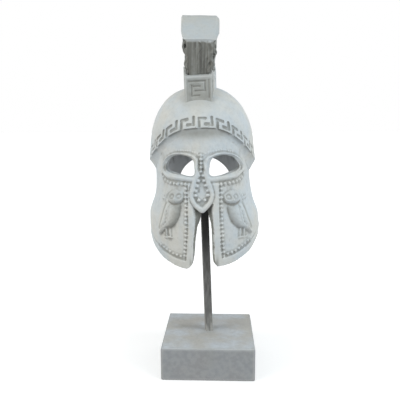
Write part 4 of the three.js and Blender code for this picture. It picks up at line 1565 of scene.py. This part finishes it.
def hairTree():
    inputs = {"Thick": "Float", "Wave": "Float", "Jitter": "Float", "Seed": "Int"}
    board, given = newTree("hairLocks", inputs)
    seed, jitter = given["Seed"], given["Jitter"]
    line = board.node("GeometryNodeMeshToCurve", None, [given["Geometry"]])
    line = board.node("GeometryNodeResampleCurve", None, {"Curve": line, "Count": hair["points"]})
    along = board.node("GeometryNodeSplineParameter")
    lock = board.attribute("lock", "INT")
    phase = board.random(0.0, 6.28, {"ID": lock, "Seed": seed})
    pace = board.random(*hair["pace"], {"ID": lock, "Seed": seed + 1})
    sway = (along * pace + phase).through("SINE") * given["Wave"]
    offset = board.scaled(board.attribute("across", "FLOAT_VECTOR"), sway)
    line = board.node("GeometryNodeSetPosition", None, {"Geometry": line, "Offset": offset})
    width = board.random(1 - jitter, 1 + jitter, {"ID": lock, "Seed": seed + 2})
    taper = (1 - hair["taper"]) + hair["taper"] * (along * math.pi).through("SINE")
    circle = {"Resolution": hair["sides"], "Radius": given["Thick"]}
    ring = board.node("GeometryNodeCurvePrimitiveCircle", None, circle)
    tubes = {"Curve": line, "Profile Curve": ring, "Scale": width * taper, "Fill Caps": True}
    return endTree(board, board.node("GeometryNodeCurveToMesh", None, tubes), given["Material"])


def makeHair():
    rng = np.random.default_rng(hair["seed"])
    points, edges, across, locks = [], [], [], []
    steps, stray = hair["steps"], hair["stray"]
    climb = np.linspace(0, 1, steps + 1)

    def addLock(line, way):
        first = len(locks) * (steps + 1)
        edges.extend((first + i, first + i + 1) for i in range(steps))
        points.append(line)
        across.append(np.broadcast_to(way, line.shape))
        locks.append(np.full(steps + 1, len(locks), np.int32))

    for side in (-1, 1):
        for i in range(hair["sideLocks"]):
            share = (i + 0.5 + rng.uniform(-stray, stray)) / hair["sideLocks"]
            _, neck, rim = crestLines(share)
            tip = lerp(rim, neck, rimDepth(share) + 0.5 * crest["rimStep"])
            place = lerp(neck[None], tip[None], climb[:, None])
            half = lerp(bulged(crest["neck"], share), bulged(crest["waist"], share), climb)
            reach, pace, phase = hair["scallop"]
            reach = reach * rise(*hair["scallopSpan"], share)
            scallop = reach * np.sin(pace * climb + rng.uniform(0, phase))
            spread = hair["spread"] * climb**2 * rise(*hair["spreadSpan"], share) * (side < 0)
            half = half - hair["thick"] + hair["proud"] + rng.uniform(-stray, stray) + scallop + spread
            flow = tip - neck
            way = np.array((0, flow[1], -flow[0])) / np.hypot(*flow)
            addLock(np.column_stack([side * half, place]), way * hair["sideWave"])
    _, neck, rim = crestLines(0.0)
    tip = lerp(rim, neck, crest["rimFront"] + hair["below"])
    out = frontWay(neck, rim)
    for i in range(hair["frontLocks"]):
        place = 2 * (i + 0.5) / hair["frontLocks"] - 1
        x = lerp(place * crest["neck"][0], place * crest["waist"][0], climb) * hair["frontInset"]
        line = lerp(neck[None], tip[None], climb[:, None]) + out * rng.uniform(*hair["frontDepth"])
        addLock(np.column_stack([x, line]), (1, 0, 0))
    piece = meshObject("hairLocks", np.concatenate(points), edges=edges)
    setAttribute(piece.data, "across", "FLOAT_VECTOR", np.concatenate(across))
    setAttribute(piece.data, "lock", "INT", np.concatenate(locks))
    return runTree(piece, hairTree(), {
        "Thick": hair["thick"] * mm,
        "Wave": hair["wave"] * mm,
        "Jitter": hair["jitter"],
        "Seed": hair["seed"],
    })


def joinMeshes(piece, other):  # side by side in one mesh, fused later
    with bpy.context.temp_override(active_object=piece, selected_editable_objects=[piece, other]):
        bpy.ops.object.join()
    return piece


def makeCrest():
    piece = joinMeshes(makeCrestCore(), makeHair())
    castAsOne(piece, crest)
    points = pointsOf(piece.data)
    y, z = points[:, 1] - crest["y"], points[:, 2] - crest["z"]
    share = np.clip((np.degrees(np.arctan2(y, z)) - crest["tip"]) / (crest["tail"] - crest["tip"]), 0, 1)
    _, neck, rim = crestLines(share)
    length = np.hypot(*(rim - neck))
    below = crest["radius"] - np.hypot(y, z)
    isHair = rise(*crest["hairSpan"], below - rimDepth(share) * length)
    climb = np.clip(below / length, 0, 1)
    half = lerp(bulged(crest["waist"], share), bulged(crest["neck"], share), climb)
    outward = points[:, 0] / half
    across, along, seed = hair["strands"]
    strand = grain(np.column_stack([across * outward, along * climb, 0 * climb]), 1.0, seed)
    _, frontNeck, frontRim = crestLines(0.0)
    behind = (frontNeck - points[:, 1:]) @ frontWay(frontNeck, frontRim)
    beside = rise(*crest["sideSpan"], np.abs(outward)) * rise(*crest["behindSpan"], behind)
    # painted shade between the strands on the hair's front
    uneven = crest["strandShade"] * strand * rise(*crest["frontSpan"], behind)
    hairShadeAndDirt = crest["hairShadeAndDirt"] - crest["sideLighter"] * beside + uneven
    tilt = Matrix.Rotation(math.radians(crest["tilt"]), 3, "Y")
    turn = Matrix.Rotation(math.radians(crest["turn"]), 3, "Z")
    askew = turnAbout(points, crest["pivot"], tilt @ turn)
    finishCasting(piece, askew, crest["darkening"] + isHair * hairShadeAndDirt, "crest")


# Rod: the square bar keeps its own shape
def dressRod():
    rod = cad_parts["rod"]
    rod.data.materials.clear()
    rod.data.materials.append(rodIron)
    print("rod dressed")


makeFoot()
dressRod()
makeHelmet()
makeHolder()
makeCrest()
